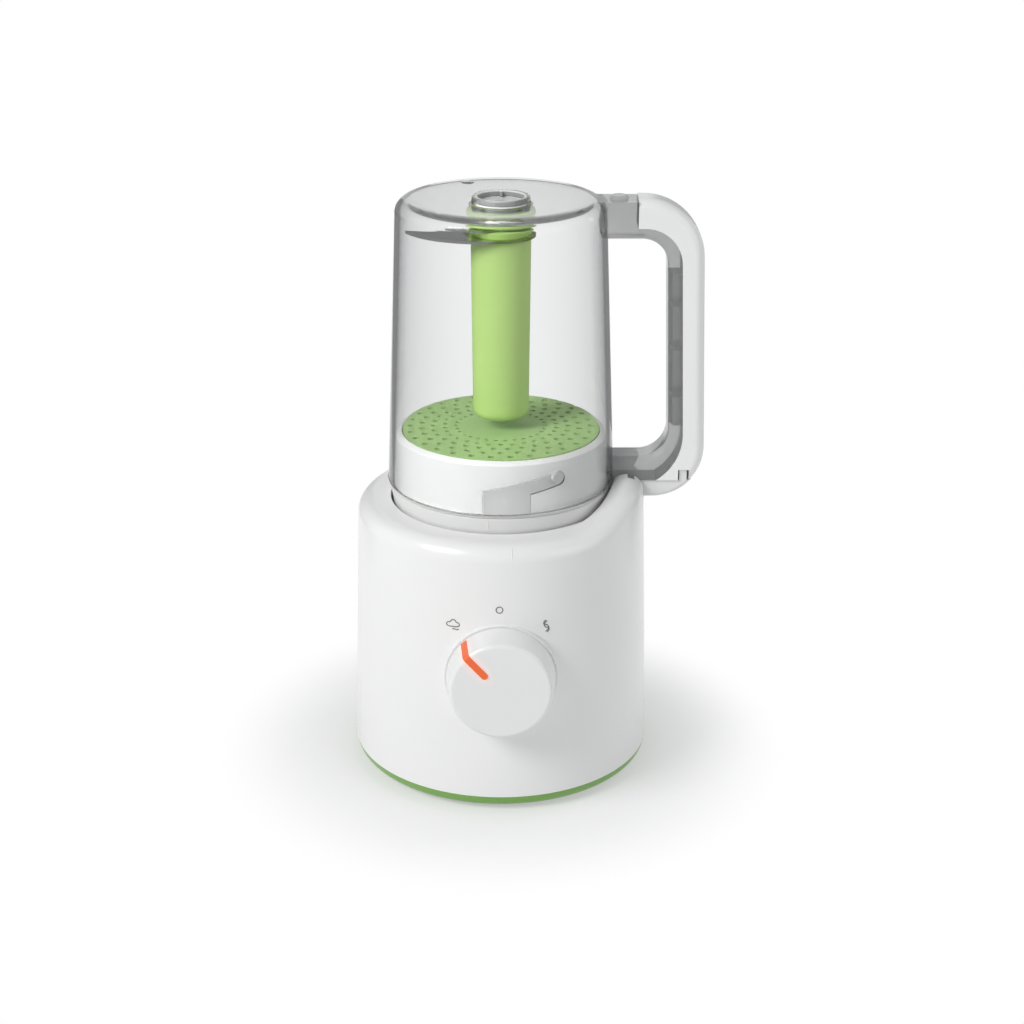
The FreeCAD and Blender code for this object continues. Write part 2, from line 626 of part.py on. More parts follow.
def make_knob():
    """Knob, its bent pointer, and the switch behind it. Modelled about Z and then faced to the front."""
    knob = new_body("control_knob")
    bore = switch_shaft_radius
    inner_top = knob_front - 2.8
    revolve(knob, "knob_cup", [(knob_skirt, knob_back), (knob_skirt, knob_back + 1.6),
                               (knob_face_radius, knob_front, 2.2), (0, knob_front), (0, inner_top - 1),
                               (bore, inner_top - 1), (bore, knob_back + 1.3), (bore + 3.5, knob_back + 1.3),
                               (bore + 3.5, inner_top), (knob_face_radius - 2.4, inner_top, 1.5),
                               (knob_skirt - 2.4, knob_back)])
    groove_line = pointer_line(-pointer_depth, 6.0)
    cut_side(knob, "pointer_groove", groove_line, pointer_width / 2)
    round_edges(knob, "groove_end", pointer_end, at_pointer_end)
    set_at(knob, up=knob_height, turn=KNOB_TURN)

    pointer = new_body("knob_pointer")
    pad_side(pointer, "pointer_strip", pointer_line(-pointer_depth, pointer_proud), pointer_width / 2)
    round_edges(pointer, "pointer_nose", pointer_end, at_pointer_end)
    set_at(pointer, up=knob_height, turn=KNOB_TURN)

    shaft = new_body("switch_shaft")
    shaft_back, shaft_front = boss_face - 30, inner_top - 1.2
    revolve(shaft, "switch_spindle", [(0, shaft_back), (bore, shaft_back), (bore, shaft_front, 0.5),
                                      (0, shaft_front)])
    set_at(shaft, up=knob_height, turn=KNOB_TURN)

    switch = new_body("rotary_switch")
    back = boss_face - 31
    pad_outline(switch, "switch_case", rectangle(-13.0, -13.0, 13.0, 13.0, 3.0), back - 3, boss_face - 17)
    pad_circle(switch, "switch_neck", (0, 0), 6.0, boss_face - 18, boss_face - wall)
    drill(switch, "switch_bore", (0, 0), bore + running_fit, back + 0.5, boss_face)
    set_at(switch, up=knob_height, turn=Rotation(Vector(1, 0, 0), 90))

    lamp = new_body("indicator_lamp")
    spot = polar(18.0, 132)
    pad_circle(lamp, "lamp_bulb", spot, 2.5, boss_face - 10, boss_face - wall)
    pad_circle(lamp, "lamp_foot", spot, 4.0, boss_face - 12, boss_face - 10)
    set_at(lamp, up=knob_height, turn=Rotation(Vector(1, 0, 0), 90))


def at_pointer_end(edge, middle):
    """Whether an edge is one of the two upright ones at the pointer's inner end."""
    half = float(pointer_width) / 2
    return abs(middle.x - float(pointer_inner)) < 0.01 and abs(abs(middle.y) - half) < 0.01


def pointer_line(inside, outside):
    """Section of the pointer along the knob's face and down its side, between two offsets."""
    slope = (knob_skirt - knob_face_radius) / (knob_front - knob_back - 1.6)
    low = knob_back + 1.9
    low_radius = knob_skirt - slope * 0.3
    return [(pointer_inner, knob_front + inside), (knob_face_radius + inside, knob_front + inside),
            (low_radius + inside, low), (low_radius + outside, low),
            (knob_face_radius + outside, knob_front + outside, 2.2), (pointer_inner, knob_front + outside)]


def square(half, rounding):
    """A square plate about the axis."""
    return rectangle(-half, -half, half, half, rounding)


def corner_spots():
    """The four motor screws."""
    return [(sign_x * motor_screw_at, sign_y * motor_screw_at) for sign_x in (1, -1) for sign_y in (1, -1)]


def make_motor():
    """Upright motor: stator, coils, brackets, bearings and screws that stand still."""
    stator = new_body("motor_stator")
    pad_outline(stator, "stator_stack", square(stator_half, 7.0), stator_low, stator_high)
    drill(stator, "stator_bore", (0, 0), armature_radius + 0.6, stator_low - 1, stator_high + 1)
    for number, spot in enumerate(corner_spots()):
        drill(stator, "stator_hole_%d" % number, spot, 2.0, stator_low - 1, stator_high + 1)

    coils = new_body("stator_coils")
    coil = 6
    coil_radius = stator_half - 2.5
    pad_circle(coils, "coil_low", (0, 0), coil_radius, stator_low - coil, stator_low)
    pad_circle(coils, "coil_high", (0, 0), coil_radius, stator_high, stator_high + coil)
    drill(coils, "coil_bore", (0, 0), armature_radius + 0.9, stator_low - coil - 1, stator_high + coil + 1)

    lower = new_body("lower_bracket")
    lower_top = lower_bracket_z + bracket_thick
    pad_outline(lower, "lower_plate", square(24.0, 6.0), lower_bracket_z, lower_top)
    drill(lower, "lower_seat", (0, 0), 8.0, lower_bracket_z - 1, lower_top + 1)
    window = cut_outline(lower, "lower_window", rectangle(11.0, -8.0, 20.0, 8.0, 2.0), lower_bracket_z - 1,
                         lower_top + 1)
    repeat(lower, [window], 4)
    for number, spot in enumerate(corner_spots()):
        pad_circle(lower, "spacer_%d" % number, spot, 4.0, lower_top, stator_low)
        drill(lower, "spacer_hole_%d" % number, spot, 2.0, lower_bracket_z - 1, stator_low + 1)

    upper = new_body("upper_bracket")
    upper_top = upper_bracket_z + bracket_thick
    pad_outline(upper, "upper_plate", square(24.0, 6.0), upper_bracket_z, upper_top)
    for number, turn in enumerate(POST_TURNS):
        spot = polar(post_ring, turn)
        root = polar(12.0, turn)
        side = polar(5.0, turn + 90)
        ear = [(root[0] - side[0], root[1] - side[1]), (spot[0] - side[0], spot[1] - side[1]),
               (spot[0] + side[0], spot[1] + side[1]), (root[0] + side[0], root[1] + side[1])]
        pad_outline(upper, "ear_%d" % number, ear, upper_bracket_z, upper_top)
        pad_circle(upper, "ear_end_%d" % number, spot, 5.0, upper_bracket_z, upper_top)
        drill(upper, "ear_hole_%d" % number, spot, 1.6, upper_bracket_z - 1, upper_top + 1)
    for number, spot in enumerate(corner_spots()):
        pad_circle(upper, "upper_spacer_%d" % number, spot, 4.0, stator_high, upper_bracket_z)
        drill(upper, "upper_hole_%d" % number, spot, 2.0, stator_high - 1, upper_top + 1)
    drill(upper, "upper_seat", (0, 0), 8.0, upper_bracket_z - 1, upper_top + 1)

    screws = new_body("motor_screws")
    for number, spot in enumerate(corner_spots()):
        pad_circle(screws, "motor_shank_%d" % number, spot, 2.0, lower_bracket_z, upper_top + 1)
        pad_circle(screws, "motor_head_%d" % number, spot, 3.6, lower_bracket_z - 2.4, lower_bracket_z)
        pad_circle(screws, "motor_nut_%d" % number, spot, 3.6, upper_top, upper_top + 2.4)

    ear_screws = new_body("bracket_screws")
    for number, turn in enumerate(POST_TURNS):
        spot = polar(post_ring, turn)
        pad_circle(ear_screws, "ear_head_%d" % number, spot, 3.4, upper_bracket_z - 2, upper_bracket_z)
        pad_circle(ear_screws, "ear_shank_%d" % number, spot, 1.6, upper_bracket_z - 1, upper_top + 8)

    for label, low, high in (("lower_bearing", lower_bracket_z - 1.5, lower_top + 1.5),
                             ("upper_bearing", upper_bracket_z - 1.5, upper_top + 1.5)):
        bearing = new_body(label)
        bore = shaft_radius + running_fit
        revolve(bearing, label + "_ring", [(bore, low), (8.0, low, 0.5), (8.0, high, 0.5), (bore, high)])

    seal = new_body("shaft_seal")
    revolve(seal, "seal_ring", [(shaft_radius + running_fit, well_floor), (9.0, well_floor - wall),
                                (9.0, well_floor + 3, 0.5), (shaft_radius + running_fit, well_floor + 1.5)])


def make_drive():
    """What turns in the base: armature, shaft, fan and coupling."""
    armature = new_body("armature")
    pad_circle(armature, "armature_stack", (0, 0), armature_radius, stator_low, stator_high)
    slot = cut_outline(armature, "armature_slot", [(armature_radius - 5, -0.8), (armature_radius + 1, -0.8),
                                                   (armature_radius + 1, 0.8), (armature_radius - 5, 0.8)],
                       stator_low - 1, stator_high + 1)
    repeat(armature, [slot], 12)
    pad_circle(armature, "winding_low", (0, 0), 12.0, stator_low - 7, stator_low)
    pad_circle(armature, "winding_high", (0, 0), 12.0, stator_high, stator_high + 6)
    pad_circle(armature, "commutator", (0, 0), 8.5, stator_low - 16, stator_low - 7)
    drill(armature, "armature_bore", (0, 0), shaft_radius, stator_low - 17, stator_high + 7)

    shaft = new_body("motor_shaft")
    revolve(shaft, "shaft_rod", [(0, shaft_low), (shaft_radius, shaft_low, 0.6),
                                 (shaft_radius, shaft_high, 0.6), (0, shaft_high)])

    fan = new_body("cooling_fan")
    disc_low = shaft_low + 2
    pad_circle(fan, "fan_disc", (0, 0), fan_radius, disc_low, disc_low + 1.2)
    pad_circle(fan, "fan_hub", (0, 0), 7.5, disc_low, disc_low + 8)
    blade_plan = [(7.0, -0.7), (fan_radius - 1, 3.4), (fan_radius - 1, 4.8), (7.0, 0.7)]
    blade = pad_outline(fan, "fan_blade", blade_plan, disc_low + 0.5, disc_low + 8)
    repeat(fan, [blade], 12)
    drill(fan, "fan_bore", (0, 0), shaft_radius, disc_low - 1, disc_low + 9)

    coupling = new_body("base_coupling")
    revolve(coupling, "coupling_body", [(shaft_radius, coupling_low), (coupling_radius, coupling_low),
                                        (coupling_radius, coupling_high, 1.5), (0, coupling_high),
                                        (0, shaft_high), (shaft_radius, shaft_high)])
    slot = cut_outline(coupling, "coupling_slot", [(2.5, -1.1), (coupling_radius + 1, -1.1),
                                                   (coupling_radius + 1, 1.1), (2.5, 1.1)],
                       coupling_high - 4.5, coupling_high + 1)
    repeat(coupling, [slot], 4)


def make_boiler():
    """Boiler tank with its heater, top, filler cap, and the way of the steam to the nozzle."""
    tank = new_body("boiler_tank")
    thick = 1.5
    inside, flange = boiler_radius - thick, boiler_radius + 2
    flange_low = boiler_high - 2
    revolve(tank, "tank_cup", [(0, boiler_low), (boiler_radius, boiler_low, 4.0), (boiler_radius, flange_low),
                               (flange, flange_low), (flange, boiler_high), (inside, boiler_high),
                               (inside, boiler_low + thick, 2.5), (0, boiler_low + thick)])
    set_at(tank, boiler_x, boiler_y)

    gasket = new_body("boiler_gasket")
    gasket_top = boiler_high + 1.2
    revolve(gasket, "gasket_ring", rectangle(inside, boiler_high, flange, gasket_top))
    set_at(gasket, boiler_x, boiler_y)

    top = new_body("boiler_top")
    plate_top = gasket_top + 2.2
    pad_circle(top, "top_plate", (boiler_x, boiler_y), flange, gasket_top, plate_top)
    pad_circle(top, "neck", (filler_x, filler_y), filler_radius, plate_top - 1, well_floor)
    drill(top, "neck_bore", (filler_x, filler_y), filler_radius - 1, gasket_top - 1, well_floor + 1)
    pad_circle(top, "steam_stub", (steam_start_x, steam_y), tube_radius, plate_top - 1, plate_top + 1)
    drill(top, "steam_bore", (steam_start_x, steam_y), tube_radius - 1.2, gasket_top - 1, plate_top + 2)

    heater = new_body("heating_element")
    plate_low, plate_high = boiler_low - 3, boiler_low - 0.01
    revolve(heater, "heater_ring", [(6.5, plate_low), (8.0, plate_low), (10.0, plate_low - 4, 1.5),
                                    (16.0, plate_low - 4, 1.5), (18.0, plate_low), (18.0, plate_high),
                                    (6.5, plate_high)])
    set_at(heater, boiler_x, boiler_y)

    thermostat = new_body("thermostat")
    can_low, can_step = boiler_low - 8, boiler_low - 5
    revolve(thermostat, "thermostat_can", [(0, can_low), (3.0, can_low), (3.0, can_step), (5.5, can_step),
                                           (5.5, plate_high), (0, plate_high)])
    set_at(thermostat, boiler_x, boiler_y)

    cap = new_body("filler_cap")
    cap_low = well_floor + 1.0
    plug = filler_radius - 1.5
    revolve(cap, "cap_disc", [(0, well_floor - 7), (plug, well_floor - 7, 1.0), (plug, cap_low),
                              (filler_radius + 2.4, cap_low), (filler_radius + 2.4, cap_low + 3.2, 1.2),
                              (0, cap_low + 3.2)])
    pad_outline(cap, "cap_grip", rectangle(-9.0, -1.7, 9.0, 1.7, 1.2), cap_low + 3, cap_low + 8.5)
    set_at(cap, filler_x, filler_y)

    cap_seal = new_body("filler_seal")
    revolve(cap_seal, "seal_washer", rectangle(plug, well_floor + 0.3, filler_radius + 1.5, cap_low))
    set_at(cap_seal, filler_x, filler_y)

    nozzle = new_body("steam_nozzle")
    bore = nozzle_radius - 2
    revolve(nozzle, "nozzle_stem", [(bore, well_floor - 4), (nozzle_radius + 0.5, well_floor - 4),
                                    (nozzle_radius + 0.5, well_floor), (nozzle_radius + 2.5, well_floor),
                                    (nozzle_radius + 2.5, well_floor + 1.6), (nozzle_radius, well_floor + 2.6),
                                    (nozzle_radius, web_top + 0.6, 1.0), (bore, web_top + 0.6)])
    set_at(nozzle, steam_x, steam_y)

    tube = new_body("steam_tube")
    start = new_sketch(tube, "tube_start", "XY_Plane", plate_top + 1)
    draw_circle(start, steam_start_x, steam_y, tube_radius)
    draw_circle(start, steam_start_x, steam_y, tube_radius - 1.2)
    spine = new_sketch(tube, "tube_spine", "XZ_Plane", -steam_y)
    draw_route(spine, [(steam_start_x, plate_top + 1), (steam_start_x, tube_level), (steam_x, tube_level),
                       (steam_x, well_floor - 4)], Size(3.4, "3.4"))
    pipe = tube.newObject("PartDesign::AdditivePipe", "tube_run")
    pipe.Profile = start
    pipe.Spine = (spine, [])


def draw_route(sketch, spots, bend):
    """An open route of straight runs joined by bends."""
    points = [Vector(float(x), float(y), 0) for x, y in spots]
    arrive, leave, middles, lefts = list(points), list(points), {}, {}
    for i in range(1, len(points) - 1):
        back = (points[i - 1] - points[i]).normalize()
        ahead = (points[i + 1] - points[i]).normalize()
        half = back.getAngle(ahead) / 2
        reach = float(bend) / math.tan(half)
        arrive[i] = points[i] + back * reach
        leave[i] = points[i] + ahead * reach
        middles[i] = points[i] + (back + ahead).normalize() * (float(bend) / math.sin(half))
        lefts[i] = back.cross(ahead).z < 0
    lines = []
    for start, end in zip(leave, arrive[1:]):
        lines.append(sketch.addGeometry(Part.LineSegment(start, end), False))
    rules = Rules(sketch)
    rules.place(lines[0], 1, spots[0])
    rules.place(lines[-1], 2, spots[-1])
    for i in middles:
        ends = (arrive[i], leave[i]) if lefts[i] else (leave[i], arrive[i])
        arc = sketch.addGeometry(turned_arc(middles[i], *ends), False)
        tip = sketch.addGeometry(Part.Point(points[i]), True)
        rules.add("Tangent", lines[i - 1], 2, arc, 1 if lefts[i] else 2)
        rules.add("Tangent", arc, 2 if lefts[i] else 1, lines[i], 1)
        rules.measure("Radius", arc, bend)
        rules.add("PointOnObject", tip, 1, lines[i - 1])
        rules.add("PointOnObject", tip, 1, lines[i])
        rules.place(tip, 1, spots[i])
    rules.apply()


def make_electrics():
    """Control board with its parts, interlock plunger and its switch."""
    board = new_body("control_board")
    parts_low = board_low + 6
    pad_outline(board, "board_sheet", rectangle(board_x, -24.0, board_x + 1.6, 24.0), board_low, board_high)
    pad_outline(board, "relay", rectangle(board_x - 14, -20.0, board_x, -4.0, 1.0), parts_low, parts_low + 16)
    pad_outline(board, "heat_sink", rectangle(board_x - 10, 4.0, board_x, 20.0), parts_low, parts_low + 24)
    pad_circle(board, "capacitor", (board_x - 5.4, -10.0), 6.0, parts_low + 20, parts_low + 40)

    plunger = new_body("interlock_plunger")
    head = tab_low - 0.3
    revolve(plunger, "plunger_rod", [(0, plunger_low), (plunger_radius, plunger_low),
                                     (plunger_radius, head, 0.6), (0, head)])
    pad_circle(plunger, "plunger_collar", (0, 0), plunger_radius + 1.2, plunger_low + 4, plunger_low + 6)
    set_at(plunger, plunger_x)

    switch = new_body("interlock_switch")
    top = plunger_low - plunger_travel - 0.3
    box = rectangle(plunger_x - 4, -10.0, plunger_x + 4, 10.0, 1.0)
    pad_outline(switch, "switch_box", box, top - 12, top - 1.5)
    pad_circle(switch, "switch_button", (plunger_x, 0), 1.6, top - 2, top)


def make_lid():
    """Lid that plugs the jar's open end: dish with a floor, port, bayonet pins, tab under the handle."""
    lid = new_body("jar_lid")
    thick = 2.4
    skirt_low, skirt_high = well_radius - 2.4, well_radius - 1.4
    ledge = rim_top - sieve_thick
    revolve(lid, "lid_dish", [
        (skirt_low, lid_low), (skirt_high, base_height), (lid_band_radius, lid_band_top, 0.6),
        (plug_radius, lid_band_top), (plug_top_radius, plug_top, 0.8), (sieve_radius + 0.6, rim_top, 0.5),
        (sieve_radius, ledge), (sieve_radius - 2.2, ledge), (plug_top_radius - thick, plug_top - 4.2),
        (plug_radius - thick, web_top, 3.0), (0, web_top), (0, web_top - thick),
        (skirt_high - thick, web_top - thick, 2.0), (skirt_low - thick, lid_low)])
    pad_circle(lid, "steam_port", (steam_x, steam_y), nozzle_radius + 3.6, web_top - thick, web_top + 16)
    drill(lid, "steam_way", (steam_x, steam_y), nozzle_radius + 1.6, web_top - thick - 1, web_top + 17)
    pin_sketch = new_sketch(lid, "pin_circle", "XZ_Plane", plug_top_radius - 1, 30)
    draw_circle(pin_sketch, 0, pin_height, pin_radius)
    pin = extrude(lid, "Pad", "bayonet_pin", pin_sketch, pin_reach - plug_top_radius + 1)
    repeat(lid, [pin], 2)
    far = grip_outer_low + 10
    pad_side(lid, "tab_blade", [(well_radius - 2, tab_low), (grip_outer_low, tab_low, 26.5),
                                (grip_outer_low - 1.4, tab_top + 30), (well_radius - 2, tab_top + 30)],
             tab_half)
    cut_side(lid, "tab_trim", rectangle(plug_radius + 0.1, tab_top, far, tab_top + 40), tab_half + 5)
    groove(lid, "seal_seat", rectangle(plug_radius, lid_band_top, lid_band_radius + 0.2, tab_top + 1))
    pad_side(lid, "tab_key", rectangle(key_inner, tab_top - 1, key_outer, key_top), tab_half)
    round_edges(lid, "tab_edges", 2.4, lambda edge, p: p.x > 70 and abs(abs(p.y) - float(tab_half)) < 0.01
                and p.z < float(tab_top) - 0.5)

    port_seal = new_body("lid_steam_seal")
    port, port_low, port_high = nozzle_radius + 1.6, web_top - thick, web_top + 2
    revolve(port_seal, "port_ring", [(port - 1.2, port_low), (port, port_low), (port, port_high),
                                     (port - 0.6, port_high)])
    set_at(port_seal, steam_x, steam_y)

    sieve = new_body("sieve")
    pad_circle(sieve, "sieve_plate", (0, 0), sieve_radius, ledge, rim_top)
    holes = new_sketch(sieve, "sieve_holes", "XY_Plane", ledge - 1)
    rings = ((47.0, 1.7), (41.0, 1.7), (35.0, 1.6), (29.0, 1.4), (23.0, 1.2))
    for number, (ring, radius) in enumerate(rings):
        spot = polar(ring, 6.0 * (number % 2))
        draw_circle(holes, spot[0], spot[1], radius)
    hole = extrude(sieve, "Pocket", "sieve_hole", holes, sieve_thick + 2, reverse=True)
    repeat(sieve, [hole], 30)

    seal = new_body("jar_seal")
    seal_in, seal_out = plug_radius + 0.4, lid_band_radius - 0.2
    seal_low, seal_high = lid_band_top + 0.3, jar_low - 0.3
    revolve(seal, "jar_seal_ring", [(seal_in, seal_low), (seal_out, seal_low), (seal_out, seal_low + 0.8),
                                    (seal_out - 0.6, seal_high), (seal_in + 0.6, seal_high),
                                    (seal_in, seal_low + 0.8)])


def jar_outer():
    """Outside of the jar, from its open edge to its closed end."""
    return [(jar_low_radius, jar_low), (jar_high_radius, jar_high, jar_round)]


def make_jar():
    """Clear jar, closed end up, with a dished end, coupling socket, gate and two bayonet slots."""
    cup = doc.addObject("PartDesign::Body", "jar_blank")
    inner_top = dish_floor - jar_wall
    socket_low = socket_floor - 2.2
    hole = spindle_radius + 2.6
    sleeve = socket_radius + 3.0
    revolve(cup, "jar_cup", jar_outer() + [
        (rim_radius, jar_high), (socket_radius + 1.8, dish_floor), (socket_radius + 1.1, socket_top, 0.4),
        (socket_radius, socket_top), (socket_radius, socket_floor), (hole, socket_floor), (hole, socket_low),
        (sleeve, socket_low, 1.0), (sleeve, inner_top), (jar_high_radius - jar_wall, jar_high - jar_wall, jar_round - jar_wall),
        (jar_low_radius - jar_wall, jar_low)])
    pad_circle(cup, "moulding_gate", polar(gate_ring, 115), gate_radius, dish_floor + 0.6, jar_high + 0.2)
    slots = doc.addObject("PartDesign::Body", "slot_shape")
    slots.AllowCompound = True
    mouth_left, mouth_right, slot_end = -18.9, 4.9, 22.8
    slot_sketch = new_sketch(slots, "bayonet_outline", "XZ_Plane", jar_low_radius - 12, 10)
    draw_outline(slot_sketch, [(mouth_left, jar_low - 2), (mouth_right, jar_low - 2),
                               (mouth_right, pin_height - 6.8), (slot_end, pin_height - 3.4, 3.2),
                               (slot_end, pin_height + 3.9, 3.2), (mouth_left, pin_height - 4.4)])
    slot = extrude(slots, "Pad", "bayonet_slot", slot_sketch, 20.0)
    repeat(slots, [slot], 2)
    outside = rectangle(pin_reach + 0.4, jar_low - 10, jar_low_radius + 30, pin_height + 20)
    groove(slots, "slot_floor", outside)
    jar = doc.addObject("Part::Cut", "jar")
    jar.Base = cup
    jar.Tool = slots
    nodes.append(jar)

    bush = new_body("jar_bush")
    bore = spindle_radius + running_fit
    bush_top = socket_floor + 1
    revolve(bush, "bush_ring", [(bore, socket_low), (hole, socket_low), (hole, socket_floor),
                                (hole + 2.4, socket_floor), (hole + 2.4, bush_top), (bore, bush_top)])


def joint_line():
    """Where the clear frame meets the white cover, from the upper arm down."""
    return [(cover_start, joint_top), (grip_joint_high, joint_top, 19.0), (grip_joint_low, joint_low, 29.0)]


def make_handle():
    """Clear handle frame, ribbed inside, and the white cover that closes it."""
    blank = doc.addObject("PartDesign::Body", "frame_blank")
    arm_start, low_start = rim_radius + 1.8, 50.0
    pad_side(blank, "frame_band", [(arm_start, arm_top), (cover_start, arm_top)] + joint_line()
             + [(low_start, joint_low), (low_start, gap_low), (gap_side_low, gap_low, 15.0),
                (gap_side_high, gap_top, 13.0), (arm_start, gap_top)], handle_half)
    foot = rectangle(40.0, joint_low - 5, grip_outer_low + 5, frame_low)
    cut_side(blank, "frame_foot", foot, handle_half + 5)
    ribs = (268.0, 251.0, 228.0, 203.0, 186.0)
    for number, (high, low) in enumerate(zip(ribs, ribs[1:])):
        lean = (gap_side_low - gap_side_high) / (gap_top - gap_low)
        near_low = gap_side_high + (gap_top - low) * lean + 2.6
        near_high = gap_side_high + (gap_top - high) * lean + 2.6
        cut_side(blank, "frame_cell_%d" % number, [(near_low, low + 0.8), (grip_outer_low, low + 0.8),
                                                   (grip_outer_low, high - 0.8), (near_high, high - 0.8)],
                 handle_half - 2.4)
    pad_circle(blank, "arm_dome", (58.6, 0), 4.8, arm_top - 1, arm_top + 1.8)
    round_edges(blank, "dome_edge", 1.5, lambda edge, p: p.z > float(arm_top) + 1.7)
    inner = (float(gap_side_high) + float(gap_side_low)) / 2
    round_edges(blank, "finger_edges", 4.0,
                lambda edge, p: abs(abs(p.y) - float(handle_half)) < 0.01 and p.x < inner + 3
                and float(gap_low) - 0.1 < p.z < float(gap_top) + 0.1)
    outside = doc.addObject("PartDesign::Body", "jar_outside")
    revolve(outside, "jar_solid", [(0, jar_low)] + jar_outer() + [(0, jar_high)])
    frame = doc.addObject("Part::Cut", "handle_frame")
    frame.Base = blank
    frame.Tool = outside
    nodes.append(frame)

    cover = new_body("handle_cover")
    pad_side(cover, "cover_band", [(cover_start, joint_top), (cover_start, handle_top),
                                   (grip_outer_high, handle_top, 31.0), (grip_outer_low, tab_low, 26.5),
                                   (50.0, tab_low), (50.0, joint_low)] + list(reversed(joint_line()))[:-1],
             handle_half)
    foot = rectangle(40.0, tab_low - 5, grip_outer_low + 5, frame_low)
    cut_side(cover, "cover_foot", foot, handle_half + 5)
    outer_half = float(handle_half)
    round_edges(cover, "cover_edges", 5.0,
                lambda edge, p: abs(abs(p.y) - outer_half) < 0.01 and (
                    p.z > float(joint_top) + 6 and p.x > float(cover_start) + 1
                    or p.x > float(grip_outer_high) - 8 and p.z > float(frame_low) + 1
                    and p.x > float(grip_joint_low) + 3))
    cut_side(cover, "cover_hollow", [(cover_start + cover_wall, joint_top - 4), (cover_start + cover_wall,
                                                                                handle_top - cover_wall),
                                     (grip_outer_high - cover_wall, handle_top - cover_wall, 28.4),
                                     (grip_outer_low - cover_wall - 0.6, key_top + 6),
                                     (gap_side_low, key_top + 6), (gap_side_high, joint_top - 4)],
             handle_half - cover_wall)
    notch = new_sketch(cover, "key_notch_outline", "XZ_Plane")
    draw_outline(notch, rectangle(key_inner - 0.8, frame_low - 2, key_outer + 1.1, key_top + 0.4))
    extrude(cover, "Pocket", "key_notch", notch, (handle_half + 2) * 2, both=True)


def blade_outline(sketch, reach, seat):
    """A sickle blade: two curved edges from the hub ring to the tip."""
    ring = float(seat) + 5.2
    tip = Vector(-0.996 * float(reach), 0.09 * float(reach), 0)
    heel = Vector(0, -ring, 0)
    back = Vector(-0.966 * ring, 0.259 * ring, 0)
    lead_radius, back_radius = 0.9 * float(reach), 1.1 * float(reach)
    edges = []
    for start, end, radius in ((tip, heel, lead_radius), (tip, back, back_radius)):
        chord = end - start
        across = Vector(-chord.y, chord.x, 0).normalize()
        rise = math.sqrt(radius * radius - chord.Length ** 2 / 4)
        edges.append(turned_arc((start + end) / 2 + across * rise, start, end))
    front = sketch.addGeometry(edges[0], False)
    rear = sketch.addGeometry(edges[1], False)
    root = sketch.addGeometry(Part.LineSegment(heel, back), False)
    rules = Rules(sketch)
    rules.add("Coincident", front, 1, rear, 1)
    rules.add("Coincident", front, 2, root, 1)
    rules.add("Coincident", rear, 2, root, 2)
    rules.place(front, 1, (reach * -0.996, reach * 0.09))
    rules.place(front, 2, (0, -(seat + 5.2)))
    rules.place(rear, 2, ((seat + 5.2) * -0.966, (seat + 5.2) * 0.259))
    rules.measure("Radius", front, reach * 0.9)
    rules.measure("Radius", rear, reach * 1.1)
    rules.apply()


def make_blade(label, reach, seat, low, turn):
    """One stamped blade with its ring, ground along its leading edge."""
    blade = new_body(label)
    high = low + blade_thick
    pad_circle(blade, label + "_ring", (0, 0), seat + 5.2, low, high)
    outline = new_sketch(blade, label + "_outline", "XY_Plane", low)
    blade_outline(outline, reach, seat)
    extrude(blade, "Pad", label + "_arm", outline, blade_thick)
    drill(blade, label + "_bore", (0, 0), seat, low - 1, high + 1)
    set_at(blade, turn=Rotation(Vector(0, 0, 1), turn))


def make_blades():
    """Blade unit that turns in the jar: hub tube, collar, two blades, spindle and coupling."""
    hub = new_body("blade_hub")
    hollow = hub_radius - 2.8
    revolve(hub, "hub_tube", [(0, hub_low), (hub_radius - 0.8, hub_low, 5.0), (hub_radius, hub_high),
                              (hollow, hub_high), (hollow - 0.6, hub_low + 2.6, 3.0), (0, hub_low + 2.6)])

    lower_top = hub_high + blade_thick
    collar = new_body("blade_collar")
    plug_low = hub_high - 8
    revolve(collar, "collar_stack", [
        (spindle_radius, plug_low), (blade_seat - 0.1, plug_low), (blade_seat, hub_high),
        (blade_seat, lower_top), (collar_radius - 2.2, lower_top),
        (collar_radius - 1.4, lower_top + 2.4, 0.6), (collar_radius - 1.0, lower_top + 3.4, 0.4),
        (collar_radius - 2.4, collar_high), (spindle_radius, collar_high)])

    make_blade("lower_blade", lower_reach, blade_seat, hub_high, 0)
    make_blade("upper_blade", upper_reach, upper_seat, collar_high, 30)

    nut = new_body("blade_nut")
    nut_low = collar_high + blade_thick
    revolve(nut, "nut_disc", [
        (spindle_radius, collar_high), (upper_seat, collar_high), (upper_seat, nut_low),
        (collar_radius - 2.6, nut_low), (collar_radius, nut_low + 1.6, 0.6), (collar_radius, nut_top, 0.8),
        (spindle_radius, nut_top)])

    spindle = new_body("drive_spindle")
    rod_low = hub_high - 40
    cup_floor = jar_coupling_low + 1.0
    revolve(spindle, "spindle_rod", [(0, rod_low), (spindle_radius, rod_low, 0.6),
                                     (spindle_radius, cup_floor, 0.2), (0, cup_floor)])

    coupling = new_body("jar_coupling")
    cup_inside = jar_coupling_radius - 0.9
    revolve(coupling, "coupling_cup", [
        (spindle_radius, jar_coupling_low), (jar_coupling_radius, jar_coupling_low),
        (jar_coupling_radius, jar_coupling_high, 0.3), (cup_inside, jar_coupling_high, 0.3),
        (cup_inside, cup_floor), (spindle_radius, cup_floor)])
    rib_plan = rectangle(cup_inside - 2.6, -0.7, cup_inside + 0.4, 0.7)
    rib = pad_outline(coupling, "coupling_rib", rib_plan, cup_floor - 0.4, jar_coupling_high - 0.2)
    repeat(coupling, [rib], 4)


GROUPS = {"rubber_feet": 4, "cover_screws": 3, "motor_screws": 4, "bracket_screws": 3, "stator_coils": 2}


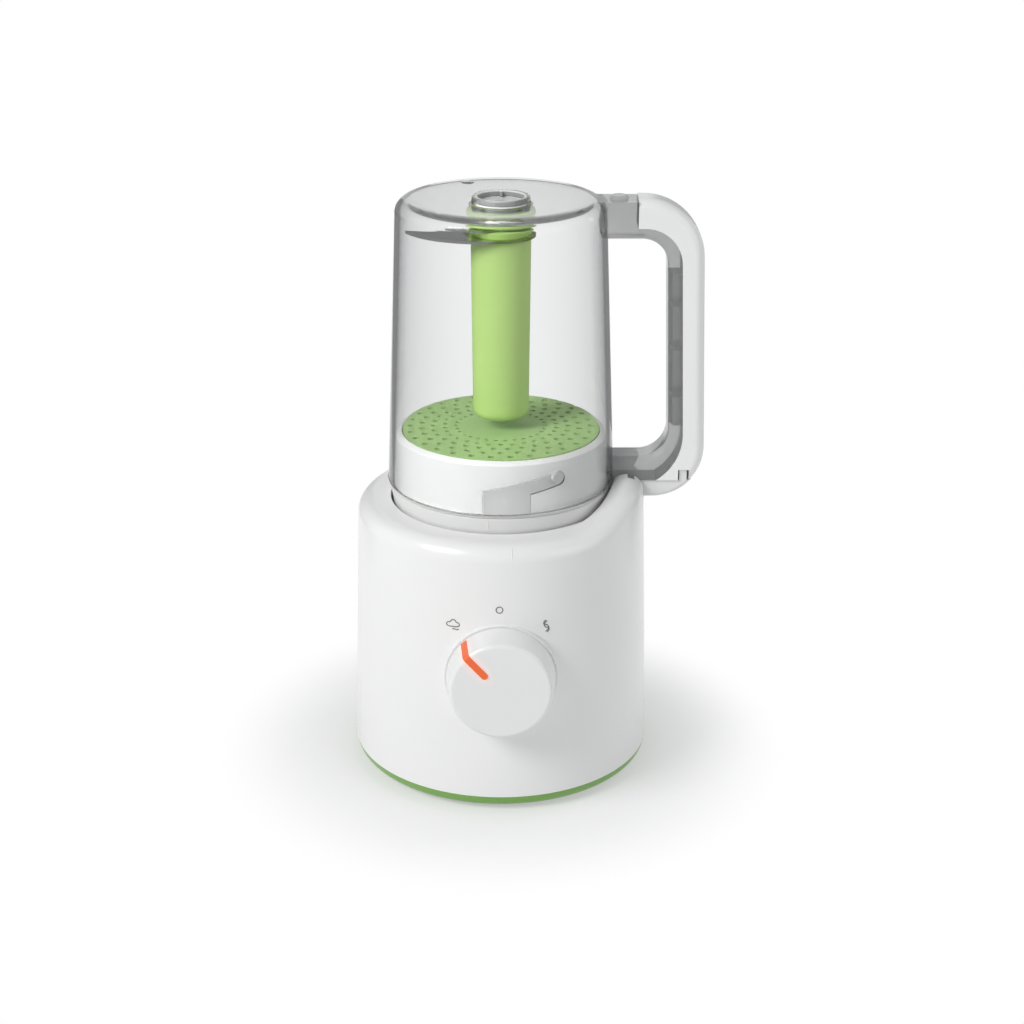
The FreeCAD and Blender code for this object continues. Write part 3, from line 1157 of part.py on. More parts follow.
def check_model():
    """Stop if an object failed, a cut removed nothing, or a sub-part isn't one sound solid or its group."""
    for item in doc.Objects:
        if "Invalid" in item.State or "Error" in item.State:
            raise RuntimeError("%s failed: %s" % (item.Name, item.State))
        if item.TypeId in ("PartDesign::Pocket", "PartDesign::Groove"):
            if item.BaseFeature.Shape.Volume - item.Shape.Volume < 0.01:
                raise RuntimeError("%s cuts nothing" % item.Name)
    for item in nodes:
        if item.Shape.isNull() or not item.Shape.isValid() or not item.Shape.Solids:
            raise RuntimeError("%s has no sound shape" % item.Label)
        if len(item.Shape.Solids) != GROUPS.get(item.Label, 1):
            raise RuntimeError("%s is in %d solids" % (item.Label, len(item.Shape.Solids)))


def write_parts():
    """Write each sub-part under its label."""
    os.makedirs("parts", exist_ok=True)
    for item in nodes:
        item.Shape.exportStep("parts/%s.step" % item.Label)
    print("wrote", len(nodes), "sub-parts")


make_housing()
make_well()
make_bottom()
make_gland()
make_knob()
make_motor()
make_drive()
make_boiler()
make_electrics()
make_lid()
make_jar()
make_handle()
make_blades()
doc.recompute()
check_model()
write_parts()
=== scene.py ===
import json
import math

import bpy
from bpy.props import FloatProperty, FloatVectorProperty, PointerProperty
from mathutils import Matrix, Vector


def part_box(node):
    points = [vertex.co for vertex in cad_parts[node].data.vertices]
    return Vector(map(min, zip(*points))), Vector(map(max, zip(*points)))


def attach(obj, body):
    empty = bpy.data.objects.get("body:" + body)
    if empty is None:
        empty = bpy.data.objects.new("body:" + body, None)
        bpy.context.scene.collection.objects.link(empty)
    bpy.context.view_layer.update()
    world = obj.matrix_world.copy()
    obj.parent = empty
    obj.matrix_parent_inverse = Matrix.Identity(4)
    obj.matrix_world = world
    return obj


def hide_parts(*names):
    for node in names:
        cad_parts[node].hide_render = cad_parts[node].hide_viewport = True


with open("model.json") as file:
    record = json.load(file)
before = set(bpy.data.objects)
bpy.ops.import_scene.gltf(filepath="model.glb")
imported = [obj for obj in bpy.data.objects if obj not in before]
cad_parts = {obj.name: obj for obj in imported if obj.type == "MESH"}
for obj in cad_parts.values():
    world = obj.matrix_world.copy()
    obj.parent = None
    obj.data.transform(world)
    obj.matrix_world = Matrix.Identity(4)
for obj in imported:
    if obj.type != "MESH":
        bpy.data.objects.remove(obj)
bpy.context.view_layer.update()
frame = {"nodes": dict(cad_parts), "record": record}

bl_info = {
    "name": "Baby Food Maker",
    "version": (1, 0, 0),
    "blender": (4, 5, 0),
    "location": "View3D > Sidebar > Food Maker",
    "description": "Dresses a steamer and blender for baby food and sets its studio",
    "category": "Object",
}

NODES = frame["nodes"]
RECORD = frame["record"]
BODY_OF = {node: body for body, members in RECORD["behaviour"]["bodies"].items() for node in members}
SLOT_OF = {item["node"]: item["material_slot"] for item in RECORD["subparts"]}

# Copies of CAD nodes: how near points lie that merge, and the angle up to which faces count as one.
MERGE_DISTANCE = 2e-6
FLAT_ANGLE = math.radians(0.05)

# Cosine past which a face counts as turned to a direction, or away from it.
TURNED = 0.5

# The housing's cone: its ends, the radius at each, and how fast it narrows upwards.
HOUSING_LOW, HOUSING_HIGH = 0.009, 0.147
HOUSING_LOW_RADIUS, HOUSING_HIGH_RADIUS = 0.0796, 0.075
HOUSING_TAPER = (HOUSING_LOW_RADIUS - HOUSING_HIGH_RADIUS) / (HOUSING_HIGH - HOUSING_LOW)

# Circles and levels of the jar's dished end, outside and inside, a margin for them, and cuts across a ring.
DISH_INNER, DISH_OUTER, DISH_LOW, DISH_HIGH = 0.015, 0.0454, 0.3016, 0.3041
CEILING_INNER, CEILING_OUTER, CEILING_LOW, CEILING_HIGH = 0.0162, 0.0461, 0.299, 0.30125
RING_MARGIN = 0.00006
RING_CUTS = 6

# The jar's bayonet grooves: floor radius, upper end, a margin, and how much painted shade their walls and
# floors get.
GROOVE_RADIUS, GROOVE_TOP, GROOVE_EDGE = 0.0573, 0.1785, 0.0004
GROOVE_WALL_SHADE, GROOVE_FLOOR_SHADE = 1.0, 0.3
GROOVE_SHADE = "groove_shade"

# The dark line of painted shadow in the seam at the jar's open end: its height above the end in widths, and
# the degrees from point to point.
SEAM_SHADOW_LIFT = 0.6
SEAM_SHADOW_STEP = 6

# Distance from the axis up to which a blade is all green, and from which it is all steel.
BLADE_MIDDLE = (0.0181, 0.0196)

# The glow round the lit pointer: half its size along its own axes, its turn, how it falls off, its strength.
GLOW_REACH = (0.0062, 0.02, 0.0165)
GLOW_TURN = math.radians(-42.0)
GLOW_FALL = 1.2
GLOW_STRENGTH = 0.5

# The coupling cup: its wall, its rim in the solid, the rim's rise to its socket, its floor, and its painted
# shade
# as shares of the height and greys: pale floor, a dark line of painted shade in the corner, grey painted
# shade up the wall, pale rim.
CUP_WALL, CUP_LOW_RIM, CUP_RISE, CUP_FLOOR = 0.0119, 0.30245, 0.0019, 0.3017
CUP_PAINTED_SHADE = ((0.0, 0.9), (0.05, 0.06), (0.16, 0.3), (0.88, 0.36), (0.95, 0.85))

# The moulding gate on the jar's dish: distance from the axis, turn, level, radius and height.
GATE_REACH, GATE_TURN, GATE_LEVEL, GATE_RADIUS, GATE_HIGH = 0.0405, 115.0, 0.3034, 0.0034, 0.0006

# Dial marks as strokes in units of a mark's width, across and up from its centre.
CLOUD = [(-0.42, -0.18), (-0.6, 0.0), (-0.42, 0.22), (-0.22, 0.2), (-0.12, 0.46), (0.2, 0.46),
         (0.28, 0.22), (0.5, 0.22), (0.6, 0.02), (0.42, -0.18), (0.0, -0.18)]
WISP = [(-0.05, -0.42), (0.12, -0.34), (0.28, -0.48), (0.5, -0.38)]
RING_RADIUS = 0.31
RING = [(RING_RADIUS * math.sin(math.radians(turn)), RING_RADIUS * math.cos(math.radians(turn)))
        for turn in range(0, 360, 45)]
HOOK = [(-0.06, -0.5), (0.16, -0.34), (0.2, -0.06), (0.02, 0.16), (-0.22, 0.1), (-0.24, 0.44),
        (-0.06, 0.56)]
HOOK_TURNED = [(-x, -y) for x, y in HOOK]

# Each mark's name, turn from straight up in degrees, share of the dial's radius, and strokes, closed or not.
DIAL_MARKS = (
    ("steam_mark", -42.0, 0.99, ((CLOUD, True), (WISP, False))),
    ("off_mark", -1.2, 1.0, ((RING, True),)),
    ("blend_mark", 41.0, 0.955, ((HOOK, False), (HOOK_TURNED, False))),
)

# Alignment lines: name, the shell and the body each lies on, place across, lower end and upper end.
TICKS = (
    ("base_tick", "housing_shell", "base", 0.0055, 0.1405, 0.1452),
    ("lid_tick", "lid_shell", "lid", -0.0066, 0.1495, 0.1545),
)
TICK_STEPS = 6
TICK_START = -0.3
TO_THE_BACK = Vector((0, 1, 0))

# Studio lamps: name, place, width and the setting that holds the power. All face one point.
LAMPS = (
    ("key_light", (-0.93, -0.75, 1.0), 0.6, "key_power"),
    ("fill_light", (1.0, -0.7, 0.6), 0.9, "fill_power"),
    ("rim_light", (0.9, 0.6, 0.5), 0.5, "rim_power"),
)
LAMP_TARGET = Vector((0.0, 0.0, 0.15))

# Grey cards that gloss mirrors: name, place, turn in degrees and grey, then a card's size and shape.
CARDS = (
    ("left_card", (-0.32, 0.72, 0.35), 90.0, 0.6),
    ("right_card", (0.32, 0.72, 0.35), 90.0, 0.5),
    ("back_card", (0.75, 0.5, 0.35), 0.0, 0.45),
)
CARD_SIZE = 1.2
CARD_SHAPE = (1.0, 0.6, 1.0)

# Light of the surround: its tint, plain white, what rays see that turned inside clear plastic, the share of
# the white that a bounce off a matte surface takes away, and how many bounces are followed.
SKY_TINT = (0.96, 0.98, 1.0)
WHITE = (1.0, 1.0, 1.0)
DIM_SURROUND = (0.26, 0.26, 0.265)
BOUNCE_LOSS = 0.7
BOUNCES = 32

# The floor: width, grey, and where it turns from holding the shadow to plain white.
FLOOR_SIZE = 12.0
FLOOR_GREY = (0.9, 0.9, 0.9)
FLOOR_FADE_START, FLOOR_FADE_END = 0.085, 0.16
FLOOR_NEAR_WHITE = 0.42


def colour_setting(name, description, default):
    """A colour that a user may change."""
    return FloatVectorProperty(name=name, description=description, subtype="COLOR", size=3, min=0, max=1,
                               default=default)


def length_setting(name, description, default):
    """A length in metres that a user may change."""
    return FloatProperty(name=name, description=description, unit="LENGTH", default=default)


def power_setting(name, description, default):
    """A lamp's power that a user may change."""
    return FloatProperty(name=name, description=description, unit="POWER", default=default)


class FoodMakerColours(bpy.types.PropertyGroup):
    """Colours of the plastics, the metal and the lamp."""

    white: colour_setting("White plastic", "Housing, well and handle cover", (0.82, 0.82, 0.815))
    knob: colour_setting("Knob plastic", "Knob", (0.9, 0.9, 0.895))
    lid: colour_setting("Lid plastic", "Lid under the jar", (0.83, 0.83, 0.825))
    green: colour_setting("Band green", "Bottom cover", (0.2, 0.42, 0.08))
    hub: colour_setting("Hub green", "Blade hub and collar", (0.42, 0.62, 0.18))
    sieve: colour_setting("Sieve green", "Perforated sieve", (0.5, 0.74, 0.3))
    clear: colour_setting("Clear plastic", "Jar", (0.95, 0.955, 0.955))
    # Painted shade: the grey that the jar turns where its wall is seen along its length.
    edge: colour_setting("Clear plastic, edge-on", "Jar where its wall is seen along its length",
                         (0.5, 0.505, 0.51))
    # Painted shade: the dark grey laid on the walls and floors of the jar's bayonet grooves.
    groove: colour_setting("Groove", "Walls of the jar's bayonet grooves", (0.08, 0.08, 0.085))
    smoke: colour_setting("Smoky plastic", "Inner handle frame", (0.5, 0.505, 0.505))
    orange: colour_setting("Pointer", "Lit pointer of the knob", (0.8, 0.13, 0.022))
    steel: colour_setting("Blade steel", "Blades", (0.8, 0.8, 0.78))
    # Green laid on the blades towards the axis.
    middle_green: colour_setting("Blade middle", "Middle of the blades, in the hub's plastic", (0.42, 0.56, 0.2))
    print_grey: colour_setting("Dial marks", "Marks round the knob", (0.16, 0.16, 0.17))


class FoodMakerSizes(bpy.types.PropertyGroup):
    """Sizes of the pieces that are added here."""

    dial_radius: length_setting("Dial radius", "From the knob's axis to its marks", 0.0363)
    dial_line: length_setting("Dial line", "Width of the dial's lines", 0.0005)
    edge_round: length_setting("Edge rounding", "Rounding of the handle frame's edges", 0.0022)
    tick_line: length_setting("Tick line", "Width of the alignment lines", 0.0006)
    # Painted shadow: width of the dark line in the seam at the jar's open end.
    seam_shadow_line: length_setting("Foot line", "Width of the line at the jar's open end", 0.0006)
    mark_size: length_setting("Mark size", "Width of a dial mark", 0.0058)
    knob_height: length_setting("Knob height", "Height of the knob's axis", 0.0776)


class FoodMakerStudio(bpy.types.PropertyGroup):
    """Camera and light."""

    camera_back: length_setting("Camera distance", "From the axis to the camera in front of it", 0.921)
    camera_height: length_setting("Camera height", "Height of the camera", 0.512)
    camera_tilt: FloatProperty(name="Camera tilt", description="Angle of the camera from straight down",
                               subtype="ANGLE", default=math.radians(67.76))
    camera_lens: FloatProperty(name="Lens", description="Focal length in millimetres", default=66.07)
    camera_shift: FloatProperty(name="Shift", description="Sideways shift of the lens", default=0.0108)
    key_power: power_setting("Key light", "Power of the main light", 12.5)
    fill_power: power_setting("Fill light", "Power of the fill light", 2.7)
    rim_power: power_setting("Rim light", "Power of the light from behind", 2.0)
    sky: FloatProperty(name="Sky", description="Light from all round", min=0, default=0.28)


class FoodMakerSettings(bpy.types.PropertyGroup):
    """All settings of the food maker."""

    colours: PointerProperty(type=FoodMakerColours)
    sizes: PointerProperty(type=FoodMakerSizes)
    studio: PointerProperty(type=FoodMakerStudio)


def settings():
    """The food maker's settings in this scene."""
    return bpy.context.scene.food_maker


def select_only(piece):
    """Make one object the only selected and the active one."""
    bpy.ops.object.select_all(action="DESELECT")
    piece.select_set(True)
    bpy.context.view_layer.objects.active = piece


def apply_modifier(piece, kind, **values):
    """Add a modifier, set it up and apply it."""
    select_only(piece)
    modifier = piece.modifiers.new(kind.title(), kind)
    for name, value in values.items():
        setattr(modifier, name, value)
    bpy.ops.object.modifier_apply(modifier=modifier.name)


def settle(piece, body, material):
    """Finish a piece: its place goes into its mesh, and it gets its body, slot and material."""
    select_only(piece)
    bpy.ops.object.transform_apply(location=True, rotation=True, scale=True)
    piece.data.materials.clear()
    piece.data.materials.append(material)
    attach(piece, body)
    return piece


def even_ring(piece, inner, outer, low, high, facing):
    """Replace the faces between two circles round the axis by an even ring of faces."""
    bpy.ops.object.mode_set(mode="EDIT")
    bpy.ops.mesh.select_mode(type="FACE")
    bpy.ops.mesh.select_all(action="DESELECT")
    bpy.ops.object.mode_set(mode="OBJECT")
    for face in piece.data.polygons:
        spots = [piece.data.vertices[number].co for number in face.vertices]
        radii = [math.hypot(spot.x, spot.y) for spot in spots]
        inside = all(inner - RING_MARGIN < radius < outer + RING_MARGIN for radius in radii)
        level = all(low - RING_MARGIN < spot.z < high + RING_MARGIN for spot in spots)
        face.select = inside and level and face.normal.z * facing > -TURNED
    bpy.ops.object.mode_set(mode="EDIT")
    bpy.ops.mesh.delete(type="FACE")
    bpy.ops.mesh.select_mode(type="EDGE")
    bpy.ops.mesh.select_all(action="DESELECT")
    bpy.ops.mesh.select_non_manifold()
    bpy.ops.mesh.bridge_edge_loops(number_cuts=RING_CUTS, interpolation="LINEAR")
    bpy.ops.mesh.select_all(action="SELECT")
    bpy.ops.mesh.normals_make_consistent(inside=False)
    bpy.ops.object.mode_set(mode="OBJECT")


def paint_groove_shade(piece):
    """Painted shade on the walls and floors of the bayonet grooves, where the clear plastic lies in shade,
    as a value per face.
    """
    shade = piece.data.attributes.new(GROOVE_SHADE, "FLOAT", "FACE")
    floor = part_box("jar")[0].z + GROOVE_EDGE
    for face in piece.data.polygons:
        spot = face.center
        radius = math.hypot(spot.x, spot.y)
        outward = (face.normal.x * spot.x + face.normal.y * spot.y) / max(radius, GROOVE_EDGE)
        in_groove = floor < spot.z < GROOVE_TOP and radius < GROOVE_RADIUS + GROOVE_EDGE
        if in_groove and abs(outward) < TURNED:
            shade.data[face.index].value = GROOVE_WALL_SHADE
        elif in_groove and radius > GROOVE_RADIUS - GROOVE_EDGE:
            shade.data[face.index].value = GROOVE_FLOOR_SHADE


def mend_jar(piece):
    """Even faces on both sides of the jar's dished end, and painted shade set on its grooves."""
    even_ring(piece, DISH_INNER, DISH_OUTER, DISH_LOW, DISH_HIGH, 1)
    even_ring(piece, CEILING_INNER, CEILING_OUTER, CEILING_LOW, CEILING_HIGH, -1)
    paint_groove_shade(piece)


def raise_rim(piece):
    """Bring the coupling's rim up level with its socket."""
    for point in piece.data.vertices:
        if point.co.z > CUP_LOW_RIM and math.hypot(point.co.x, point.co.y) > CUP_WALL:
            point.co.z += CUP_RISE


def soft_edges(piece):
    """Round the sharp edges of a moulded piece."""
    apply_modifier(piece, "BEVEL", width=settings().sizes.edge_round, segments=4, limit_method="ANGLE",
                   angle_limit=math.radians(50.0), use_clamp_overlap=True)


def smooth_shell(node, name, angle, mend):
    """A merged, smoothly shaded copy of a CAD node that stands for it, mended first where that is asked."""
    piece = bpy.data.objects.new(name, NODES[node].data.copy())
    bpy.context.scene.collection.objects.link(piece)
    select_only(piece)
    if piece.data.has_custom_normals:
        bpy.ops.mesh.customdata_custom_splitnormals_clear()
    bpy.ops.object.mode_set(mode="EDIT")
    bpy.ops.mesh.select_all(action="SELECT")
    bpy.ops.mesh.remove_doubles(threshold=MERGE_DISTANCE)
    bpy.ops.mesh.dissolve_limited(angle_limit=FLAT_ANGLE)
    bpy.ops.object.mode_set(mode="OBJECT")
    if mend:
        mend(piece)
    bpy.ops.object.shade_smooth_by_angle(angle=math.radians(angle))
    apply_modifier(piece, "WEIGHTED_NORMAL", keep_sharp=True)
    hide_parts(node)
    return piece


def new_group(name, inputs, outputs):
    """An empty shader node group with named sockets."""
    group = bpy.data.node_groups.new(name, "ShaderNodeTree")
    for label, kind, value in inputs:
        socket = group.interface.new_socket(label, in_out="INPUT", socket_type=kind)
        if value is not None:
            socket.default_value = value
    for label, kind in outputs:
        group.interface.new_socket(label, in_out="OUTPUT", socket_type=kind)
    entry = group.nodes.new("NodeGroupInput")
    leave = group.nodes.new("NodeGroupOutput")
    return group, entry, leave


def math_node(nodes, operation, *values):
    """A Math node with plain values on its sockets, where None leaves a socket to be linked."""
    node = nodes.new("ShaderNodeMath")
    node.operation = operation
    for socket, value in zip(node.inputs, values):
        if value is not None:
            socket.default_value = value
    return node


def moulded_surface():
    """Node group: the faint unevenness of a moulded plastic surface in tone, gloss and height."""
    found = bpy.data.node_groups.get("moulded_surface")
    if found:
        return found
    group, entry, leave = new_group(
        "moulded_surface",
        [("Colour", "NodeSocketColor", (0.8, 0.8, 0.8, 1)), ("Tone", "NodeSocketFloat", 0.03),
         ("Roughness", "NodeSocketFloat", 0.3), ("Spread", "NodeSocketFloat", 0.06),
         ("Grain Size", "NodeSocketFloat", 900.0)],
        [("Colour", "NodeSocketColor"), ("Roughness", "NodeSocketFloat"), ("Height", "NodeSocketFloat")])
    nodes, links = group.nodes, group.links
    place = nodes.new("ShaderNodeTexCoord")
    cloud = nodes.new("ShaderNodeTexNoise")
    cloud.inputs["Scale"].default_value = 14.0
    cloud.inputs["Detail"].default_value = 3.0
    grain = nodes.new("ShaderNodeTexNoise")
    grain.inputs["Detail"].default_value = 2.0
    links.new(place.outputs["Object"], cloud.inputs["Vector"])
    links.new(place.outputs["Object"], grain.inputs["Vector"])
    links.new(entry.outputs["Grain Size"], grain.inputs["Scale"])
    centred = math_node(nodes, "SUBTRACT", None, 0.5)
    links.new(cloud.outputs["Fac"], centred.inputs[0])
    tone = math_node(nodes, "MULTIPLY_ADD", None, None, 1.0)
    links.new(centred.outputs[0], tone.inputs[0])
    links.new(entry.outputs["Tone"], tone.inputs[1])
    shade = nodes.new("ShaderNodeVectorMath")
    shade.operation = "SCALE"
    links.new(entry.outputs["Colour"], shade.inputs[0])
    links.new(tone.outputs[0], shade.inputs["Scale"])
    links.new(shade.outputs[0], leave.inputs["Colour"])
    gloss = math_node(nodes, "MULTIPLY_ADD")
    links.new(centred.outputs[0], gloss.inputs[0])
    links.new(entry.outputs["Spread"], gloss.inputs[1])
    links.new(entry.outputs["Roughness"], gloss.inputs[2])
    links.new(gloss.outputs[0], leave.inputs["Roughness"])
    links.new(grain.outputs["Fac"], leave.inputs["Height"])
    return group


def finish_material(name, colour, roughness, tone=0.03, spread=0.06, grain=900.0, bump=0.02, **values):
    """A material with the moulded surface group, and constant values set on the shader's own sockets."""
    found = bpy.data.materials.get(name)
    if found:
        return found
    material = bpy.data.materials.new(name)
    material.use_nodes = True
    nodes, links = material.node_tree.nodes, material.node_tree.links
    shader = nodes["Principled BSDF"]
    surface = nodes.new("ShaderNodeGroup")
    surface.node_tree = moulded_surface()
    surface.inputs["Colour"].default_value = (*colour, 1.0)
    surface.inputs["Tone"].default_value = tone
    surface.inputs["Roughness"].default_value = roughness
    surface.inputs["Spread"].default_value = spread
    surface.inputs["Grain Size"].default_value = grain
    relief = nodes.new("ShaderNodeBump")
    relief.inputs["Strength"].default_value = bump
    relief.inputs["Distance"].default_value = 0.0005
    links.new(surface.outputs["Colour"], shader.inputs["Base Color"])
    links.new(surface.outputs["Roughness"], shader.inputs["Roughness"])
    links.new(surface.outputs["Height"], relief.inputs["Height"])
    links.new(relief.outputs["Normal"], shader.inputs["Normal"])
    for label, value in values.items():
        shader.inputs[label.replace("_", " ")].default_value = value
    return material


def lay_over(material, share, colour):
    """Lay a colour over a material's own, as much as a socket from 0 to 1 says."""
    nodes, links = material.node_tree.nodes, material.node_tree.links
    base = nodes["Principled BSDF"].inputs["Base Color"]
    mix = nodes.new("ShaderNodeMixRGB")
    mix.inputs["Color2"].default_value = (*colour, 1.0)
    links.new(share, mix.inputs["Fac"])
    links.new(base.links[0].from_socket, mix.inputs["Color1"])
    links.new(mix.outputs["Color"], base)


def white_plastic():
    return finish_material("white_plastic", settings().colours.white, 0.3,
                           Coat_Weight=0.25, Coat_Roughness=0.12, IOR=1.5)


def lid_plastic():
    return finish_material("lid_plastic", settings().colours.lid, 0.32,
                           Coat_Weight=0.2, Coat_Roughness=0.15)


def knob_plastic():
    """White plastic with the warm glow that the lit pointer throws on the knob round it."""
    found = bpy.data.materials.get("knob_plastic")
    if found:
        return found
    colours = settings().colours
    material = finish_material("knob_plastic", colours.knob, 0.3, Coat_Weight=0.25, Coat_Roughness=0.12)
    nodes, links = material.node_tree.nodes, material.node_tree.links
    place = nodes.new("ShaderNodeTexCoord")
    low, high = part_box("knob_pointer")
    centre = (low + high) / 2
    turn = nodes.new("ShaderNodeMapping")
    turn.vector_type = "TEXTURE"
    turn.inputs["Location"].default_value = (centre.x, centre.y, centre.z)
    turn.inputs["Rotation"].default_value = (0, GLOW_TURN, 0)
    turn.inputs["Scale"].default_value = GLOW_REACH
    glow = nodes.new("ShaderNodeTexGradient")
    glow.gradient_type = "SPHERICAL"
    soft = math_node(nodes, "POWER", None, GLOW_FALL)
    tint = nodes.new("ShaderNodeMixRGB")
    tint.inputs["Color1"].default_value = (0, 0, 0, 1)
    tint.inputs["Color2"].default_value = (*colours.orange, 1.0)
    links.new(place.outputs["Object"], turn.inputs["Vector"])
    links.new(turn.outputs["Vector"], glow.inputs["Vector"])
    links.new(glow.outputs["Fac"], soft.inputs[0])
    links.new(soft.outputs[0], tint.inputs["Fac"])
    shader = nodes["Principled BSDF"]
    links.new(tint.outputs["Color"], shader.inputs["Emission Color"])
    shader.inputs["Emission Strength"].default_value = GLOW_STRENGTH
    return material


def green_plastic():
    return finish_material("green_plastic", settings().colours.green, 0.32,
                           Coat_Weight=0.2, Coat_Roughness=0.15)


def hub_plastic():
    return finish_material("hub_plastic", settings().colours.hub, 0.5,
                           Specular_IOR_Level=0.8, Coat_Weight=0.2, Coat_Roughness=0.2)


def sieve_plastic():
    return finish_material("sieve_plastic", settings().colours.sieve, 0.34,
                           Transmission_Weight=0.25, IOR=1.45)


def clear_plastic():
    """Clear plastic with painted shade: greyer where a wall is seen along its length, and dark in the
    grooves.
    """
    found = bpy.data.materials.get("clear_plastic")
    if found:
        return found
    colours = settings().colours
    material = finish_material("clear_plastic", colours.clear, 0.03, tone=0.01, spread=0.02, bump=0.004,
                               Transmission_Weight=1.0, IOR=1.22)
    nodes = material.node_tree.nodes
    # Painted edge shade: the wall turns grey where it is seen along its length.
    facing = nodes.new("ShaderNodeLayerWeight")
    facing.inputs["Blend"].default_value = 0.28
    lay_over(material, facing.outputs["Facing"], colours.edge)
    # Painted shade in the grooves, from the faces' shade value.
    groove = nodes.new("ShaderNodeAttribute")
    groove.attribute_name = GROOVE_SHADE
    lay_over(material, groove.outputs["Fac"], colours.groove)
    return material


def smoky_plastic():
    return finish_material("smoky_plastic", settings().colours.smoke, 0.16, tone=0.04, spread=0.04,
                           bump=0.01, Transmission_Weight=0.7, IOR=1.25)


def cup_plastic():
    """Pale plastic with painted shade: its wall is grey between its floor and its rim, and darkest in the
    corner above the floor.
    """
    found = bpy.data.materials.get("cup_plastic")
    if found:
        return found
    material = finish_material("cup_plastic", settings().colours.white, 0.25, tone=0.02, bump=0.01)
    nodes, links = material.node_tree.nodes, material.node_tree.links
    place = nodes.new("ShaderNodeTexCoord")
    split = nodes.new("ShaderNodeSeparateXYZ")
    level = nodes.new("ShaderNodeMapRange")
    level.inputs["From Min"].default_value = CUP_FLOOR
    level.inputs["From Max"].default_value = CUP_LOW_RIM + CUP_RISE
    # Painted shade by height: a dark line in the corner with the floor, grey up the wall, pale floor and
    # rim.
    painted_shade_ramp = nodes.new("ShaderNodeValToRGB")
    steps = painted_shade_ramp.color_ramp.elements
    while len(steps) < len(CUP_PAINTED_SHADE):
        steps.new(1.0)
    for step, (height, grey) in zip(steps, CUP_PAINTED_SHADE):
        step.position = height
        step.color = (grey, grey, grey, 1.0)
    surface = next(node for node in nodes if node.type == "GROUP")
    links.new(place.outputs["Object"], split.inputs[0])
    links.new(split.outputs["Z"], level.inputs["Value"])
    links.new(level.outputs["Result"], painted_shade_ramp.inputs["Fac"])
    links.new(painted_shade_ramp.outputs["Color"], surface.inputs["Colour"])
    return material


def lit_orange():
    colour = settings().colours.orange
    return finish_material("lit_orange", colour, 0.25,
                           Emission_Color=(*colour, 1.0), Emission_Strength=0.18)


def blade_metal():
    """Ground steel that turns green towards the axis."""
    found = bpy.data.materials.get("blade_metal")
    if found:
        return found
    colours = settings().colours
    material = finish_material("blade_metal", colours.steel, 0.24, tone=0.08, spread=0.1, grain=1500.0,
                               bump=0.03, Metallic=1.0)
    nodes, links = material.node_tree.nodes, material.node_tree.links
    place = nodes.new("ShaderNodeTexCoord")
    flat = nodes.new("ShaderNodeVectorMath")
    flat.operation = "MULTIPLY"
    flat.inputs[1].default_value = (1, 1, 0)
    away = nodes.new("ShaderNodeVectorMath")
    away.operation = "LENGTH"
    middle = nodes.new("ShaderNodeMapRange")
    middle.inputs["From Min"].default_value = BLADE_MIDDLE[1]
    middle.inputs["From Max"].default_value = BLADE_MIDDLE[0]
    links.new(place.outputs["Object"], flat.inputs[0])
    links.new(flat.outputs[0], away.inputs[0])
    links.new(away.outputs["Value"], middle.inputs["Value"])
    lay_over(material, middle.outputs["Result"], colours.middle_green)
    return material


def plain_metal():
    return finish_material("plain_metal", (0.5, 0.51, 0.53), 0.35, tone=0.1, bump=0.04, Metallic=1.0)


def boiler_metal():
    return finish_material("boiler_metal", (0.7, 0.71, 0.73), 0.38, tone=0.12, bump=0.05, Metallic=1.0)


def stack_iron():
    return finish_material("stack_iron", (0.09, 0.095, 0.1), 0.55, tone=0.25, bump=0.1, Metallic=0.7)


def winding_copper():
    return finish_material("winding_copper", (0.55, 0.2, 0.07), 0.35, tone=0.3, grain=700.0, bump=0.25,
                           Metallic=0.9)


def black_rubber():
    return finish_material("black_rubber", (0.025, 0.025, 0.027), 0.7, tone=0.2, bump=0.12)


def pale_silicone():
    return finish_material("pale_silicone", (0.68, 0.68, 0.66), 0.5, tone=0.05, bump=0.04)


def black_plastic():
    return finish_material("black_plastic", (0.03, 0.03, 0.033), 0.45, tone=0.15, bump=0.06)


def grey_plastic():
    return finish_material("grey_plastic", (0.42, 0.43, 0.44), 0.36, tone=0.06, bump=0.04)


def board_laminate():
    return finish_material("board_laminate", (0.03, 0.16, 0.06), 0.4, tone=0.3, bump=0.05)


def dial_ink():
    return finish_material("dial_ink", settings().colours.print_grey, 0.5, tone=0.1, bump=0.01)


# The finish of each material slot in the record.
SLOT_FINISH = {
    "white_plastic": white_plastic,
    "band_green": green_plastic,
    "hub_green": hub_plastic,
    "sieve_green": sieve_plastic,
    "clear_jar": clear_plastic,
    "smoky_clear": smoky_plastic,
    "pointer_orange": lit_orange,
    "blade_steel": blade_metal,
    "plain_steel": plain_metal,
    "boiler_metal": boiler_metal,
    "stator_iron": stack_iron,
    "copper_wire": winding_copper,
    "black_rubber": black_rubber,
    "pale_seal": pale_silicone,
    "black_plastic": black_plastic,
    "grey_plastic": grey_plastic,
    "board_green": board_laminate,
}


def dress(node, name, angle=32.0, mend=None):
    """Put a smooth shell over a CAD node, in the node's own finish."""
    piece = smooth_shell(node, name, angle, mend)
    return settle(piece, BODY_OF[node], SLOT_FINISH[SLOT_OF[node]]())


class FOODMAKER_OT_base(bpy.types.Operator):
    """Housing, bottom cover, feet, gland and well"""

    bl_idname = "food_maker.base"
    bl_label = "Base"

    def execute(self, context):
        dress("base_housing", "housing_shell")
        dress("bottom_cover", "green_band")
        dress("rubber_feet", "soft_feet")
        dress("cord_gland", "rear_gland")
        dress("jar_well", "well_shell")
        return {"FINISHED"}


